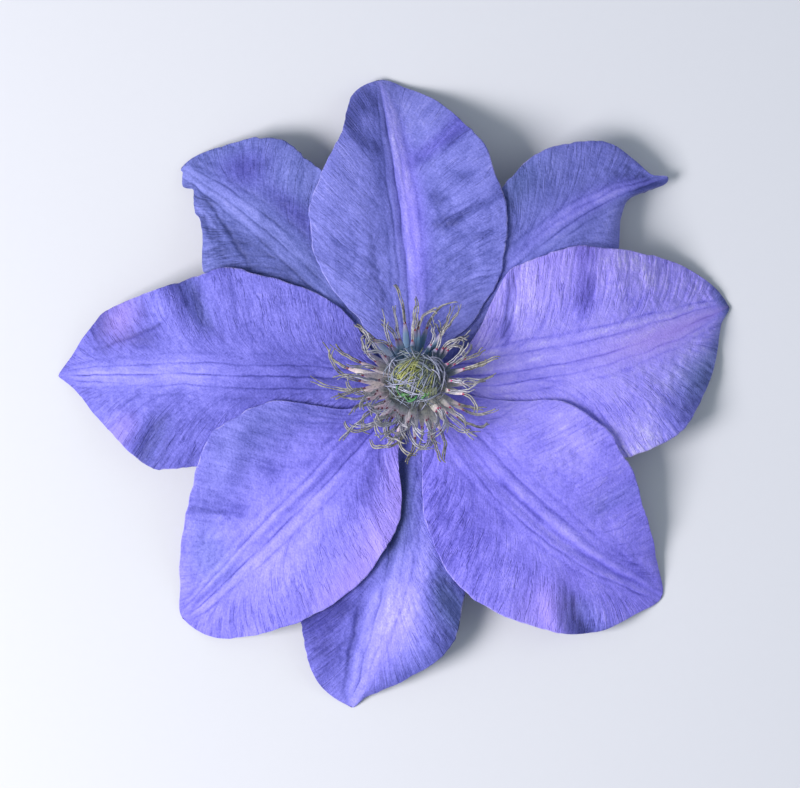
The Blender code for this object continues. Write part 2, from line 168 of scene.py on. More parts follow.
# The outer stamens: azimuth and radius of the joint between filament and anther, the anther's
# length, and how far the anther turns aside: to the left, or to the right where it is negative
OUTER_STAMENS = (
    (0, 11.4, 10.0, 50), (10, 12.6, 6.5, 32), (18, 11.4, 11.0, 5), (26, 12.8, 6.5, 17),
    (41, 10.4, 8.6, -17), (58, 11.7, 11.0, -11), (75, 12.5, 13.0, -76), (86, 12.1, 9.0, 7),
    (94, 9.6, 10.0, -9), (98, 13.4, 12.0, 22), (110, 10.3, 11.4, -14), (134, 13.9, 6.7, 7),
    (147, 13.0, 6.6, -127), (156, 10.4, 9.6, -71), (164, 13.6, 8.5, -20), (171, 15.6, 9.7, -83),
    (177, 12.4, 14.0, -88), (184, 13.6, 12.4, -35), (190, 11.6, 9.7, 22), (199, 11.3, 7.5, 57),
    (213, 10.6, 14.4, 23), (229, 10.8, 8.0, -91), (260, 11.3, 9.0, -92), (270, 12.8, 9.0, -48),
    (278, 10.8, 7.5, -39), (286, 13.4, 8.5, 4), (298, 12.4, 10.0, -51), (312, 10.2, 11.6, 0),
    (319, 12.8, 9.3, 74), (325, 9.8, 7.5, -12), (333, 12.5, 11.0, 83), (342, 13.2, 9.3, 77),
    (350, 11.8, 10.2, -87),
)
INNER_STAMENS = 17
INNER_SPANS = ((0, 360), (8.0, 9.8), (7.0, 10.5), (-110, 110))
# Finer stamens that fill the brush and stand for no solid: how many, then the span of each number
EXTRA_STAMENS = (
    (30, ((0, 360), (8.0, 12.5), (6.5, 11.0), (-160, 160))),
    (5, ((150, 260), (8.0, 10.5), (8.0, 13.0), (95, 150))),
    (6, ((200, 330), (8.0, 10.0), (8.0, 13.0), (-150, -90))),
)

# Stage, in metres
FLOOR_REACH = 3.0
LIGHT_TARGET = 0.01
CAMERA_HEIGHT = 1.2
FOCUS_HEIGHT = 0.006
FLOWER_SHARE = 0.8425  # the flower's share of the view's width
LEFT_SHARE = 0.0075  # how far the flower's middle is left of the view's, as a share of its width
SURROUND_COLOUR = (0.8, 0.9, 1.0)
SURROUND_STRENGTH = 0.385

# Each sepal's azimuth and length run from the flower's axis to its tip, and bend is the midrib's bow
# to the left. left and right are the half-widths at the seven inner eighths of the blade. cup lifts
# its left and right half, droop lowers their margins, and a wave is a fold at a margin: its place
# along (below nought it is on the right), breadth and height.
SEPALS = (
    dict(
        name="sepal_northeast", azimuth=39, length=77.5, bend=6.5, layer=0, arch=6.5, lift=2.5,
        left=(2, 3.5, 8.5, 15, 18, 14, 1.5), right=(5, 10.5, 15, 17, 15, 1.5, 1.5), cup=(0.6, 0.4),
        droop=(1.5, 3), waves=((0.8, 0.1, 1.2),)),
    dict(
        name="sepal_northwest", azimuth=137.5, length=75.5, bend=-3, layer=0, arch=6.5, lift=0.8,
        left=(4.5, 9, 14, 18, 18, 8, 2.5), right=(3.5, 6.5, 12, 18, 20, 15.5, 6.5), cup=(0.5, 0.8),
        droop=(1, 1.5), waves=((0.72, 0.07, 1.6), (-0.82, 0.09, 1))),
    dict(
        name="sepal_south", azimuth=-101, length=79, bend=3.5, layer=0, arch=6.5, lift=0,
        left=(3.5, 6.5, 11, 17.5, 18, 10.5, 2), right=(2, 5, 11, 17.5, 20, 15.5, 10), cup=(0.8, 0.8),
        droop=(2, 1.2), waves=((0.75, 0.08, 0.9),)),
    dict(
        name="sepal_north", azimuth=97, length=72.5, bend=-1.5, layer=1, arch=6, lift=0.5,
        left=(4, 11.5, 19, 22, 18, 10.5, 7), right=(6.5, 15.5, 22.5, 25, 22, 15, 5.5), cup=(3, 2.2),
        droop=(1, 2), waves=((-0.62, 0.06, -1.2), (-0.8, 0.05, -0.8))),
    dict(
        name="sepal_west", azimuth=179, length=85, bend=-1, layer=1, arch=7.5, lift=0,
        left=(5.5, 9.5, 14.5, 22, 22.5, 13, 3), right=(3, 14.5, 22, 25, 20.5, 15, 5), cup=(0.8, 0.8),
        droop=(1.8, 1.2), waves=((-0.56, 0.07, 2), (0.66, 0.07, 1.6))),
    dict(
        name="sepal_east", azimuth=13.5, length=77, bend=-4, layer=2, arch=7, lift=0,
        left=(2.5, 10, 24.5, 26.5, 23.5, 17.5, 9), right=(4, 8, 14.5, 25, 24, 14, 2.5), cup=(0.8, 0.6),
        droop=(1, 3), waves=((0.28, 0.06, 1.4), (0.55, 0.07, 1.2))),
    dict(
        name="sepal_southwest", azimuth=-134.5, length=79, bend=1.5, layer=2, arch=6.5, lift=0,
        left=(4, 8.5, 20, 22.5, 20, 15, 8.5), right=(2.5, 8, 23.5, 27, 21.5, 13, 4.5), cup=(1.4, 0.8),
        droop=(0.6, 1.6), waves=((0.45, 0.12, 0.8),)),
    dict(
        name="sepal_southeast", azimuth=-41, length=78, bend=-6, layer=3, arch=7, lift=0,
        left=(4, 13.5, 25, 27.5, 23, 14.5, 5), right=(4, 10, 19.5, 23.5, 21, 15, 5), cup=(1, 0.8),
        droop=(1.8, 1.4), waves=((0.6, 0.07, 1.2), (-0.72, 0.06, -1.2))),
)

# What the finer surface adds to each sepal. A place, crest or share is on the left of the midrib where
# it is above nought and on the right where it is below, and a pair is for the left and the right.
# seed sets its random numbers, tone its depth of colour from -1, deep, to 1, pale, and slate its share
# of grey. The tone is partly the sepal's own colour and partly painted light and shade, as on the east
# sepal, made paler though it faces away from the lamp, and the slate grey partly paints the cooler hue
# of shade. lean is how far the folds drift towards the tip on their way to the margin, in mm, and comb
# the same for the fine ribs half way along. ribs is the height of the corrugation, flutter that of the
# soft waves of the margin, bar the height and paleness of the midrib's bar, and groove the depth of a
# broad groove in it. tip draws the outline in at the very end, and ragged says how uneven it is.
#   lines, along the bar: mm to the left of the midrib, depth (a raised pale one is below nought), breadth
#   creases, straight: along and mm to the left at one end, the same at the other, depth, breadth
#   notches in the outline: place along, depth in mm (a lobe is below nought), reach
#   folds: the crest's distance from the seat, breadth, height, the share of the half-width it starts at
#   crinkle, the crumpled patches: place along, reach, height
#   washes, soft patches of pigment and of painted light and shade: pale ones are partly painted light,
#   deep and slate ones partly painted shade, among them the shadow that the south-west sepal casts on
#   the south one, and blush ones are pink pigment. Each gives along, share of the half-width, reach
#   along, reach across, strength
#   streaks along the folds, where the deep and slate ones paint shade on the folds' flanks and the
#   blush ones pink pigment: the crest's distance, breadth towards the seat, breadth towards the tip,
#   the share of the half-width that it starts at, strength
SURFACES = {
    "sepal_northeast": dict(
        seed=31, tone=-0.2, slate=0.7, lean=(11, 11), comb=(8, 10), ribs=(0.11, 0.12), bar=(0.35, 0.1),
        groove=0, flutter=(0.7, 0.6),
        lines=(
            (-2.2, 0.55, 0.28), (0.1, 0.8, 0.25), (2.4, 0.6, 0.28), (4.6, 0.35, 0.35),
            (1.2, -0.25, 0.5)),
        folds=((-46, 4, -0.8, 0), (58, 4, 0.6, 0.3)), crinkle=((0.85, 0.1, 0.1),),
        washes=dict(
            pale=((0.75, 0.13, 0.2, 0.1, 0.3), (0.5, -0.5, 0.2, 0.4, 0.3), (0.73, -0.5, 0.1, 0.4, 0.25),
                  (0.72, 0.75, 0.08, 0.3, 0.2)),
            deep=((0.93, -0.4, 0.06, 0.6, 0.9), (0.58, 0.85, 0.12, 0.3, 0.35)),
            slate=((0.58, 0.9, 0.12, 0.3, 0.3), (0.75, 0.13, 0.3, 0.15, -0.4)))),
    "sepal_northwest": dict(
        seed=32, ragged=2, tone=-0.3, slate=0.88, lean=(11, 11), comb=(12, 5.5), ribs=(0.12, 0.12),
        bar=(0.35, 0.25), groove=0, flutter=(0.8, 0.8),
        lines=(
            (-2.8, 0.55, 0.28), (0.2, 0.6, 0.25), (3, 0.75, 0.3), (-5.2, 0.35, 0.35), (1.6, -0.3, 0.5),
            (-1.4, -0.2, 0.6)),
        creases=((0.6, 9.4, 0.92, 1.8, 0.7, 0.5), (0.7, 8.6, 0.9, 5.2, -0.4, 0.6)),
        notches=((0.925, 1.1, 0.014), (0.962, -1.2, 0.016), (0.885, -0.8, 0.02), (0.99, 0.7, 0.006)),
        folds=((47, 3, 0.9, 0.2), (-50, 3, 0.8, 0.2)), crinkle=((0.85, 0.14, 0.18), (-0.95, 0.05, 0.2)),
        washes=dict(
            pale=((0.75, 0, 0.2, 0.12, 0.2), (0.6, -0.75, 0.16, 0.3, 0.25)),
            deep=((0.45, 0.4, 0.2, 0.8, 0.4), (0.74, 0.56, 0.1, 0.2, 0.25),
                  (0.83, -0.5, 0.05, 0.22, 0.55), (0.64, -0.38, 0.1, 0.1, 0.4)),
            slate=((0.83, -0.5, 0.07, 0.3, -0.5), (0.6, -0.38, 0.14, 0.14, -0.4)))),
    "sepal_south": dict(
        seed=33, tone=-0.2, slate=0.4, lean=(11, 11), comb=(12, 17), ribs=(0.12, 0.12), bar=(0.45, 0.3),
        groove=0.05, flutter=(0.8, 0.7),
        lines=(
            (-6.6, 0.7, 0.6), (-3.6, -0.4, 0.8), (-1.6, 0.6, 0.28), (0.4, -0.3, 0.7), (1.9, 0.35, 0.28),
            (4.2, 0.35, 0.35)),
        folds=((47, 3.5, 1.1, 0.2), (37, 3.5, -1.1, 0.4), (-59, 3, 1, 0.2), (-52, 3, -0.9, 0.3)),
        crinkle=((0.6, 0.15, 0.14), (-0.8, 0.12, 0.1)),
        washes=dict(
            pale=((0.64, 0.27, 0.26, 0.36, 0.82),),
            deep=((0.66, -0.75, 0.2, 0.4, 0.7), (0.34, -0.15, 0.17, 0.32, 1.9),
                  (0.58, 0.55, 0.08, 0.12, 0.35), (0.86, -0.8, 0.1, 0.4, 0.4),
                  (0.73, 0.98, 0.14, 0.3, 0.4)),
            slate=((0.66, -0.75, 0.25, 0.4, -0.2), (0.34, -0.15, 0.17, 0.32, 0.7),
                   (0.7, 0.2, 0.25, 0.3, -0.3), (0.73, 0.98, 0.14, 0.3, 0.2))),
        streaks=dict(
            deep=((35, 5, 4, 0.6, 0.9), (-48, 3, 1.5, 0.3, 0.4)),
            slate=((36, 5, 5, 0.55, 0.6),))),
    "sepal_north": dict(
        seed=34, tone=0.02, slate=0.7, lean=(11, 8), comb=(19, 8), ribs=(0.08, 0.12), bar=(0.3, 0.1),
        groove=0.2, flutter=(0.5, 0.7),
        lines=(
            (-4.4, 0.4, 0.35), (-2.9, -0.2, 0.5), (-1.3, -0.3, 0.6), (-2.1, 0.25, 0.25),
            (0.2, 0.95, 0.28), (2.2, 0.6, 0.28), (1.2, -0.2, 0.4), (3.8, 0.3, 0.4)),
        folds=(
            (-45.3, 1.8, -1.6, 0.1), (-28.8, 2, -1.7, 0.2), (-36.5, 3, 0.9, 0.2), (-50, 2.6, 0.8, 0.2),
            (55, 3, 0.8, 0.2), (-41.5, 1.8, 0.7, 0.2), (-25.4, 1.8, 0.7, 0.3), (48.5, 2.2, -1.3, 0.05),
            (43, 3, 0.6, 0.1)),
        crinkle=((0.35, 0.2, 0.14), (-0.45, 0.12, 0.12)),
        washes=dict(
            deep=((0.7, 0.17, 0.2, 0.12, 0.6), (0.38, 0.6, 0.15, 0.25, 0.22),
                  (0.93, 0.6, 0.06, 0.5, 0.8), (0.56, -0.36, 0.04, 0.1, 0.6),
                  (0.62, -0.69, 0.03, 0.13, 0.45), (0.47, -0.4, 0.03, 0.15, 0.4),
                  (0.42, -0.75, 0.03, 0.2, 0.35), (0.32, -0.5, 0.15, 0.5, 0.35)),
            pale=((0.5, -0.1, 0.4, 0.1, 0.3), (0.85, -0.3, 0.12, 0.3, 0.3)),
            slate=((0.5, -0.1, 0.4, 0.14, -0.7),)),
        streaks=dict(
            deep=((-45.3, 0.9, 2.6, 0.1, 0.55), (-28.8, 0.8, 2.2, 0.3, 0.5), (49, 1.6, 3, 0.05, 0.75)),
            slate=((-46, 1.2, 2.6, 0.1, -0.4),))),
    "sepal_west": dict(
        seed=35, tip=0.5, tone=-0.25, slate=0.32, lean=(7, 7.5), comb=(10, 4.5), ribs=(0.13, 0.13),
        bar=(0.25, 0.03), groove=0, flutter=(0.55, 0.7),
        lines=((-2.7, 0.85, 0.2), (0, 1.1, 0.22), (2.9, 0.85, 0.2), (-5.2, 0.3, 0.25), (5.4, 0.25, 0.25)),
        folds=(
            (-49, 3, 1.5, 0.25), (-42.4, 3, -1.5, 0.3), (-35.6, 3, 0.8, 0.3), (59, 2.6, 1.3, 0.25),
            (53.6, 2.4, -1.5, 0.3), (-62, 3, 0.6, 0.3), (-26, 4, 0.5, 0.4)),
        crinkle=((0.82, 0.12, 0.12), (-0.82, 0.12, 0.1)), creases=((0.67, -12.5, 0.87, -6.3, 0.7, 0.45),),
        washes=dict(
            pale=((0.72, 0, 0.26, 0.15, 0.5), (0.3, -0.6, 0.15, 0.4, 0.15)),
            blush=((0.81, -0.8, 0.05, 0.3, 0.7),),
            deep=((0.88, -0.8, 0.03, 0.3, 0.6), (0.74, -0.8, 0.02, 0.2, 0.35), (0.3, 0, 0.2, 0.5, 0.2),
                  (0.74, -0.42, 0.06, 0.12, 0.45), (0.6, 0.96, 0.07, 0.3, 0.3))),
        streaks=dict(
            deep=((-42.4, 2.6, 2.6, 0.3, 0.65), (54.5, 5.5, 1.6, 0.3, 0.65), (-62.5, 3, 3, 0.4, 0.25)),
            slate=((-42.4, 2.6, 2.6, 0.4, 0.35), (53, 3.4, 2.6, 0.4, 0.25)),
            blush=((59.5, 2, 3, 0.5, 0.4),))),
    "sepal_east": dict(
        seed=36, tone=0.46, slate=0, lean=(6.6, 12), comb=(7.5, 5), ribs=(0.2, 0.15), bar=(0.35, -0.05),
        groove=0, flutter=(0.6, 0.7),
        lines=(
            (-2.6, 0.8, 0.25), (0, 1.1, 0.28), (3.9, 1, 0.24), (6.8, 0.7, 0.28), (-5, 0.4, 0.3),
            (5.3, -0.3, 0.5), (1.9, -0.25, 0.7)),
        folds=(
            (9.5, 2.2, 0.9, 0.2), (15.3, 2, -1.5, 0.2), (24, 3.6, 0.8, 0.3), (36.8, 2.6, -1.6, 0.3),
            (43.5, 3, 1, 0.3), (-42, 4, 0.7, 0.3), (-54, 4.5, -1.2, 0.3)),
        crinkle=((-0.72, 0.13, 0.13), (0.76, 0.12, 0.1), (0.97, 0.06, 0.25)),
        washes=dict(
            blush=((0.78, 0, 0.22, 0.15, 1), (0.4, 0.95, 0.4, 0.4, 0.35)),
            deep=((0.8, -0.92, 0.12, 0.3, 0.95), (0.47, -0.55, 0.12, 0.2, 0.35), (1, 0, 0.025, 2, 1.2)),
            slate=((0.84, -0.85, 0.16, 0.35, 0.7), (1, 0, 0.03, 2, 1)),
            pale=((0.74, 0.75, 0.13, 0.35, 0.2), (0.6, -0.9, 0.1, 0.3, 0.3),
                  (0.3, 0.75, 0.1, 0.4, 0.15))),
        streaks=dict(
            deep=((15.3, 1.6, 1.6, 0.25, 0.9), (36.6, 2.8, 2.4, 0.3, 0.85)),
            slate=((15.3, 1.6, 1.6, 0.4, 0.35), (-52, 5, 5, 0.3, 0.4)))),
    "sepal_southwest": dict(
        seed=37, tone=-0.04, slate=0.1, lean=(8, 14), comb=(6.5, 10), ribs=(0.13, 0.05), bar=(0.3, 0),
        groove=0.05, flutter=(0.6, 0.15),
        lines=(
            (-3.6, 0.75, 0.28), (-1.3, 0.4, 0.8), (0.5, 1, 0.25), (-2.6, -0.3, 0.5), (1.7, -0.3, 0.8),
            (-6, 0.35, 0.35), (3.6, 0.4, 0.3), (-4.8, -0.2, 0.6)),
        folds=((-42.5, 2.6, -0.7, 0.15), (20, 6, 0.5, 0.5), (50, 5, 0.7, 0.4), (-46, 2.5, 0.5, 0.3)),
        crinkle=((-0.8, 0.12, 0.2), (0.7, 0.15, 0.08)),
        washes=dict(
            blush=((0.3, 0.92, 0.22, 0.3, 0.75), (0.55, 0.95, 0.12, 0.2, 0.45)),
            slate=((0.3, -0.9, 0.25, 0.4, 0.3), (0.55, -0.8, 0.3, 0.4, 0.3),
                   (0.8, -0.4, 0.08, 0.4, 0.4)),
            deep=((0.42, -0.85, 0.22, 0.35, 0.22), (0.12, 0, 0.14, 1, 0.4), (0.29, 0.4, 0.1, 0.12, 0.45),
                  (0.46, -0.43, 0.03, 0.14, 0.35)),
            pale=((0.6, 0.25, 0.25, 0.25, 0.3), (0.55, -0.3, 0.2, 0.3, 0.2),
                  (0.3, 0.95, 0.2, 0.15, 0.1))),
        streaks=dict(
            deep=((-42.5, 3.6, 0.8, 0.15, 0.4), (11.5, 1, 1, 0.45, 0.35), (20, 1, 1, 0.5, 0.4),
                  (24.5, 0.7, 0.7, 0.6, 0.35)))),
    "sepal_southeast": dict(
        seed=38, tone=0.09, slate=0, lean=(11, 11), comb=(8, 5.5), ribs=(0.08, 0.16), bar=(0.4, 0.05),
        groove=0.35, flutter=(0.6, 0.8),
        lines=(
            (0.8, 1, 0.6), (-2.4, 0.7, 0.3), (4, 0.75, 0.35), (2.5, -0.3, 0.8), (-0.9, -0.12, 0.5),
            (6.6, 0.4, 0.4), (-4.6, 0.3, 0.4)),
        folds=(
            (45.5, 3.4, -1.2, 0.2), (38, 3, 0.9, 0.3), (-50.8, 2.6, -1.7, 0.3), (-46, 2.6, 1.1, 0.3),
            (52, 2.6, 0.7, 0.3)),
        crinkle=((0.45, 0.08, 0.08),),
        washes=dict(
            blush=((0.7, -0.8, 0.08, 0.4, 0.4),),
            deep=((0.3, -0.6, 0.2, 0.4, 0.4), (0.62, -0.75, 0.05, 0.3, 0.15),
                  (0.88, 0.28, 0.06, 0.15, 0.45)),
            pale=((0.35, 0.8, 0.2, 0.4, 0.35),)),
        streaks=dict(
            deep=((-51.3, 2.6, 3, 0.35, 0.8), (45, 3.8, 2.2, 0.1, 0.16)),
            slate=((-51.5, 3.5, 4, 0.4, 0.6), (45, 3.5, 2.2, 0.3, 0.25)),
            blush=((-44.5, 2.2, 2.2, 0.5, 0.3),))),
}


def hermite(values, place):
    """A smooth curve through evenly spaced values that never swings past them."""
    values = np.asarray(values, float)
    rise = np.diff(values)
    product = rise[:-1] * rise[1:]
    total = np.where(product > 0, rise[:-1] + rise[1:], 1.0)
    slope = np.zeros(len(values))
    slope[1:-1] = np.where(product > 0, 2 * product / total, 0.0)
    slope[0] = 1.5 * rise[0] - 0.5 * slope[1]
    slope[-1] = 1.5 * rise[-1] - 0.5 * slope[-2]
    i = np.clip(np.floor(place).astype(int), 0, len(values) - 2)
    t = place - i
    start = values[i] * (1 + 2 * t) * (1 - t) ** 2 + slope[i] * t * (1 - t) ** 2
    return start + values[i + 1] * t * t * (3 - 2 * t) + slope[i + 1] * t * t * (t - 1)


def ease(value):
    """A smooth step from 0 to 1."""
    value = np.clip(value, 0, 1)
    return value * value * (3 - 2 * value)


def bell(value):
    """A soft hump: one at nought, and next to nothing past two."""
    return np.exp(-(value**2))


def blend_grid(grid, i, j, x, y):
    """A repeating square grid's values at i, j, blended with the next ones by the shares x and y."""
    size = len(grid)
    i, j, after_i, after_j = i % size, j % size, (i + 1) % size, (j + 1) % size
    near = grid[i, j] * (1 - x) + grid[after_i, j] * x
    far = grid[i, after_j] * (1 - x) + grid[after_i, after_j] * x
    return near * (1 - y) + far * y


def cloud(u, v, seed):
    """Smooth noise from -1 to 1: seeded values on a square lattice, blended with eased weights."""
    lattice = np.random.default_rng(seed).uniform(-1, 1, (LATTICE, LATTICE))
    i, j = np.floor(u).astype(int), np.floor(v).astype(int)
    return blend_grid(lattice, i, j, ease(u - i), ease(v - j))


def half_width(sepal, side, along):
    """The blade's half-width on one side, where along runs from 0 at the seat to 1 at the tip."""
    widths = (CLAW_HALF_WIDTH, *sepal[side], TIP_HALF_WIDTH)
    return hermite(widths, np.arccos(1 - 2 * np.clip(along, 0, 1)) / math.pi * 8)


def margin_at(sepal, along, across):
    """The half-width on the side that each point across, in mm left of the midrib, lies on."""
    return np.where(across > 0, half_width(sepal, "left", along), half_width(sepal, "right", along))


def share_of(sepal, along, across):
    """Each point's share of the half-width, from 0 on the midrib to 1 on the margin."""
    return np.abs(across) / margin_at(sepal, along, across)


def by_side(across, pair):
    """The first of a pair on the left of the midrib and the second on the right."""
    return np.where(across > 0, *pair)


def on_side(across, place):
    """Whether each point is on the side that the sign of a place stands for."""
    return across > 0 if place > 0 else across <= 0


def blade_length(sepal):
    """The length in mm from the seat to the tip."""
    return sepal["length"] - SEAT_RADIUS


def midrib(sepal, along):
    """The midrib's plan, as x and y, and the heading that the blade's width is square to."""
    bow = sepal["bend"] * 4
    heading = np.arctan(bow * (1 - 2 * along) / blade_length(sepal)) * ease(along * 8)
    return SEAT_RADIUS + blade_length(sepal) * along, bow * along * (1 - along), heading


def plan_point(sepal, along, across):
    """The plan position, round the flower's axis, of a point across mm left of the midrib."""
    x, y, heading = midrib(sepal, along)
    x, y = x - across * np.sin(heading), y + across * np.cos(heading)
    turn = math.radians(sepal["azimuth"])
    return x * math.cos(turn) - y * math.sin(turn), x * math.sin(turn) + y * math.cos(turn)


def blade_place(sepal, x, y):
    """The reverse of plan_point, found by passing back and forth between the midrib and the point."""
    turn = math.radians(sepal["azimuth"])
    ahead = x * math.cos(turn) + y * math.sin(turn)
    aside = y * math.cos(turn) - x * math.sin(turn)
    along, across = (ahead - SEAT_RADIUS) / blade_length(sepal), aside
    for _ in range(5):
        _, bow, heading = midrib(sepal, np.clip(along, 0, 1))
        across = (aside - bow) / np.cos(heading)
        along = (ahead + across * np.sin(heading) - SEAT_RADIUS) / blade_length(sepal)
    return along, across


def fold_station(sepal, along, across):
    """Where the fold through each point leaves the midrib, in mm from the seat: the point's own
    distance, less the drift that grows with a power of its share of the half-width."""
    share = np.clip(share_of(sepal, along, across), 0, 1)
    return along * blade_length(sepal) - by_side(across, sepal["lean"]) * share**NERVE_POWER


def rib_station(sepal, along, across, sweep=RIB_SWEEP):
    """The same for the ribs, which leave the bar at a low angle, bend away within the sweep, and
    lean further the nearer they are to the tip."""
    share = np.abs(across) / BROAD
    lean = by_side(across, sepal["comb"]) * (0.35 + np.clip(along, 0, 1))
    drift = lean * share**1.1 + sweep * BROAD * (1 - np.exp(-share / SWEEP_REACH))
    return along * blade_length(sepal) - drift


def free_height(sepal, along, across, kept=1):
    """The blade's height if nothing lay under it: an arch from seat to tip with cupped halves,
    waves at the margins and folds along the nerves, of which a share is kept."""
    along = np.clip(along, 0, 1)
    share = np.clip(share_of(sepal, along, across), 0, 1)
    height = SEAT_HEIGHT * (1 - along) + sepal["arch"] * 4 * along * (1 - along)
    height = height + sepal["layer"] * LAYER_STEP * (1 - ease(along * 2))
    height = height + sepal.get("settle", 0) * ease(along / SETTLE_REACH)
    cup = by_side(across, sepal["cup"]) * share**1.5
    droop = by_side(across, sepal["droop"]) * share**3
    height = height + (cup - droop) * np.sin(math.pi * along) ** 0.6
    if "folds" not in sepal:
        for place, breadth, size in sepal["waves"]:
            wave = size * share**2 * bell((along - abs(place)) / breadth)
            height = height + on_side(across, place) * wave
        return height
    station = fold_station(sepal, along, across)
    for crest, breadth, size, start in sepal["folds"]:
        fold = size * kept * ease((share - start * 0.6) / (1 - start * 0.6))
        height = height + on_side(across, crest) * fold * bell((station - abs(crest)) / breadth)
    flutter = kept * by_side(across, sepal["flutter"]) * share**1.6 * ease((1 - along) * 6)
    row = np.sign(across) * 5 + across / 25
    return height + flutter * cloud(station / 5.2 + 11, row, sepal["seed"] + 40)


def blade_height(sepal, along, across, kept=1):
    """The height of the blade's middle, lifted where it lies on a lower sepal. The folds of the
    lower one show through less and less beyond its margin."""
    height = free_height(sepal, along, across, kept)
    x, y = plan_point(sepal, along, across)
    for other in sepal["below"]:
        place, offset = blade_place(other, x, y)
        inside = np.clip(place, 0, 1)
        margin = margin_at(other, inside, offset)
        held = np.clip(offset, -margin, margin)
        past_tip = (place - inside) * other["length"]
        beyond = np.hypot(np.abs(offset - held), past_tip)
        support = blade_height(other, inside, held, kept / (1 + (beyond / 3) ** 2))
        support = support + LAYER_STEP - DRAPE_FALL * beyond - DRAPE_BEND * beyond**2
        height = (height + support + np.sqrt((height - support) ** 2 + DRAPE_ROUNDING**2)) / 2
    return height


def blade_grid(sepal, rows, columns):
    """Places on the blade: along is spaced as on a half circle, across runs from margin to margin."""
    along = (1 - np.cos(np.linspace(0, math.pi, rows))) / 2
    share = np.linspace(-1, 1, columns)
    along, share = np.meshgrid(along, share, indexing="ij")
    return along, share * margin_at(sepal, along, share)


def layered(surfaces):
    """The sepals with the surfaces added, each holding those of a lower layer that it can lie on,
    and lowered in its outer part until its lowest point is at its stated lift."""
    made = [dict(sepal, **surfaces.get(sepal["name"], {})) for sepal in SEPALS]
    for sepal in made:
        sepal["below"] = [
            other for other in made if other["layer"] < sepal["layer"]
            and abs((sepal["azimuth"] - other["azimuth"] + 180) % 360 - 180) < LYING_ANGLE]
    for sepal in sorted(made, key=lambda item: item["layer"]):
        along, across = blade_grid(sepal, 60, 41)
        underside = blade_height(sepal, along, across).min() - SEPAL_THICKNESS / 2
        sepal["settle"] = sepal["lift"] - underside
    return made


def sepal_tops(sepals, x, y):
    """The height of the highest sepal's middle over each plan point."""
    top = np.full(np.shape(x), -np.inf)
    for sepal in sepals:
        along, across = blade_place(sepal, x, y)
        inside = (along >= 0) & (along <= 1) & (np.abs(across) <= margin_at(sepal, along, across) + 1)
        top = np.where(inside, np.maximum(top, blade_height(sepal, along, across)), top)
    return top


def on_map(tops, x, y):
    """The map's height at each plan point, blended between its four nearest grid points."""
    step = 2 * MAP_REACH / (MAP_STEPS - 1)
    across = np.clip((x + MAP_REACH) / step, 0, MAP_STEPS - 1.001)
    along = np.clip((y + MAP_REACH) / step, 0, MAP_STEPS - 1.001)
    i, j = across.astype(int), along.astype(int)
    return blend_grid(tops, i, j, across - i, along - j)


def nest_radius(height):
    """The radius of the pistil's outside at each height: its neck, then its rounded nest."""
    level = np.clip((height - NEST_HEIGHT) / NEST_HALF_HEIGHT, -1, 1)
    nest = NEST_RADIUS * np.sqrt(1 - level**2)
    neck = np.where((height > DOME_TOP - 3) & (height < NEST_HEIGHT), NECK_RADIUS, 0.0)
    return np.maximum(nest, neck)


def nest_lean(height):
    """How far the pistil's middle has leant to the back at each height."""
    return PISTIL_LEAN * ease((height - DOME_TOP) / (NEST_HEIGHT - DOME_TOP))


def dome_height(radius):
    """The receptacle's dome: a quarter of an ellipse from the collar to the top."""
    return COLLAR_TOP + (DOME_TOP - COLLAR_TOP) * math.sqrt(1 - (radius / COLLAR_RADIUS) ** 2)


def stamen_path(stamen, tops, draw):
    """The middle of one stamen, its heading and the joint's share of its length. The filament runs
    from its seat on the dome to the joint, its slope set by its length, and the anther turns aside
    and levels out. The path is the running sum of its steps."""
    azimuth, joint, anther, sideways = stamen
    root = np.interp(joint, ROOT_JOINTS, ROOT_RADII)
    toward = azimuth + draw.uniform(*AZIMUTH_STRAY)
    out, toward = np.radians(toward + np.array([draw.uniform(*ROOT_STRAY), 0]))
    place = root * np.array([math.cos(out), math.sin(out)])
    goal = joint * np.array([math.cos(toward), math.sin(toward)])
    reach = math.dist(goal, place)
    filament = max(draw.uniform(*FILAMENT_LENGTH), reach * 1.02)
    rise = math.degrees(math.acos(reach / filament))
    bow = np.interp(joint, BOW_JOINTS, BOWS) + draw.uniform(*BOW_STRAY)
    level = draw.uniform(*END_SLOPES)
    length = np.linspace(0, filament + anther, PATH_STEPS)
    grown = np.clip(length / filament, 0, 1)
    curl = np.clip((length - filament) / anther, 0, 1)
    heading = math.atan2(goal[1] - place[1], goal[0] - place[0]) + np.radians(sideways * curl**1.4)
    slope = rise + bow * (1 - 2 * grown)
    slope = np.radians(slope + (level - slope) * curl**0.8)
    step = length[1] - length[0]
    run = np.cos(slope)
    turns = np.stack([run * np.cos(heading), run * np.sin(heading), np.sin(slope)])
    passed = np.cumsum(turns, axis=1) - turns[:, :1]
    seat = dome_height(root) + GAP + FILAMENT_THICKNESS / 2
    x, y, z = passed * step + np.reshape((*place, seat), (3, 1))
    z = np.maximum(z, np.where(np.hypot(x, y) > 6, on_map(tops, x, y) + STAMEN_RISE, -np.inf))
    return np.stack([x, y, z], axis=1), heading, filament / (filament + anther)


def is_clear(path, placed):
    """Whether a stamen keeps its distance from those already placed and from the pistil."""
    x, y, z = path.T
    reach = np.hypot(x, y - nest_lean(z)) - nest_radius(z)
    over = z > NEST_HEIGHT + NEST_HALF_HEIGHT + NEST_ROOM
    if not np.all((reach > NEST_ROOM) | over):
        return False
    if not placed:
        return True
    others = np.stack(placed)
    apart = np.linalg.norm(path[None, :, None] - others[:, None], axis=3)
    needed = hermite(STAMEN_ROOM, np.linspace(0, 3, PATH_STEPS))
    return bool(np.all(apart > needed[:, None] + needed))


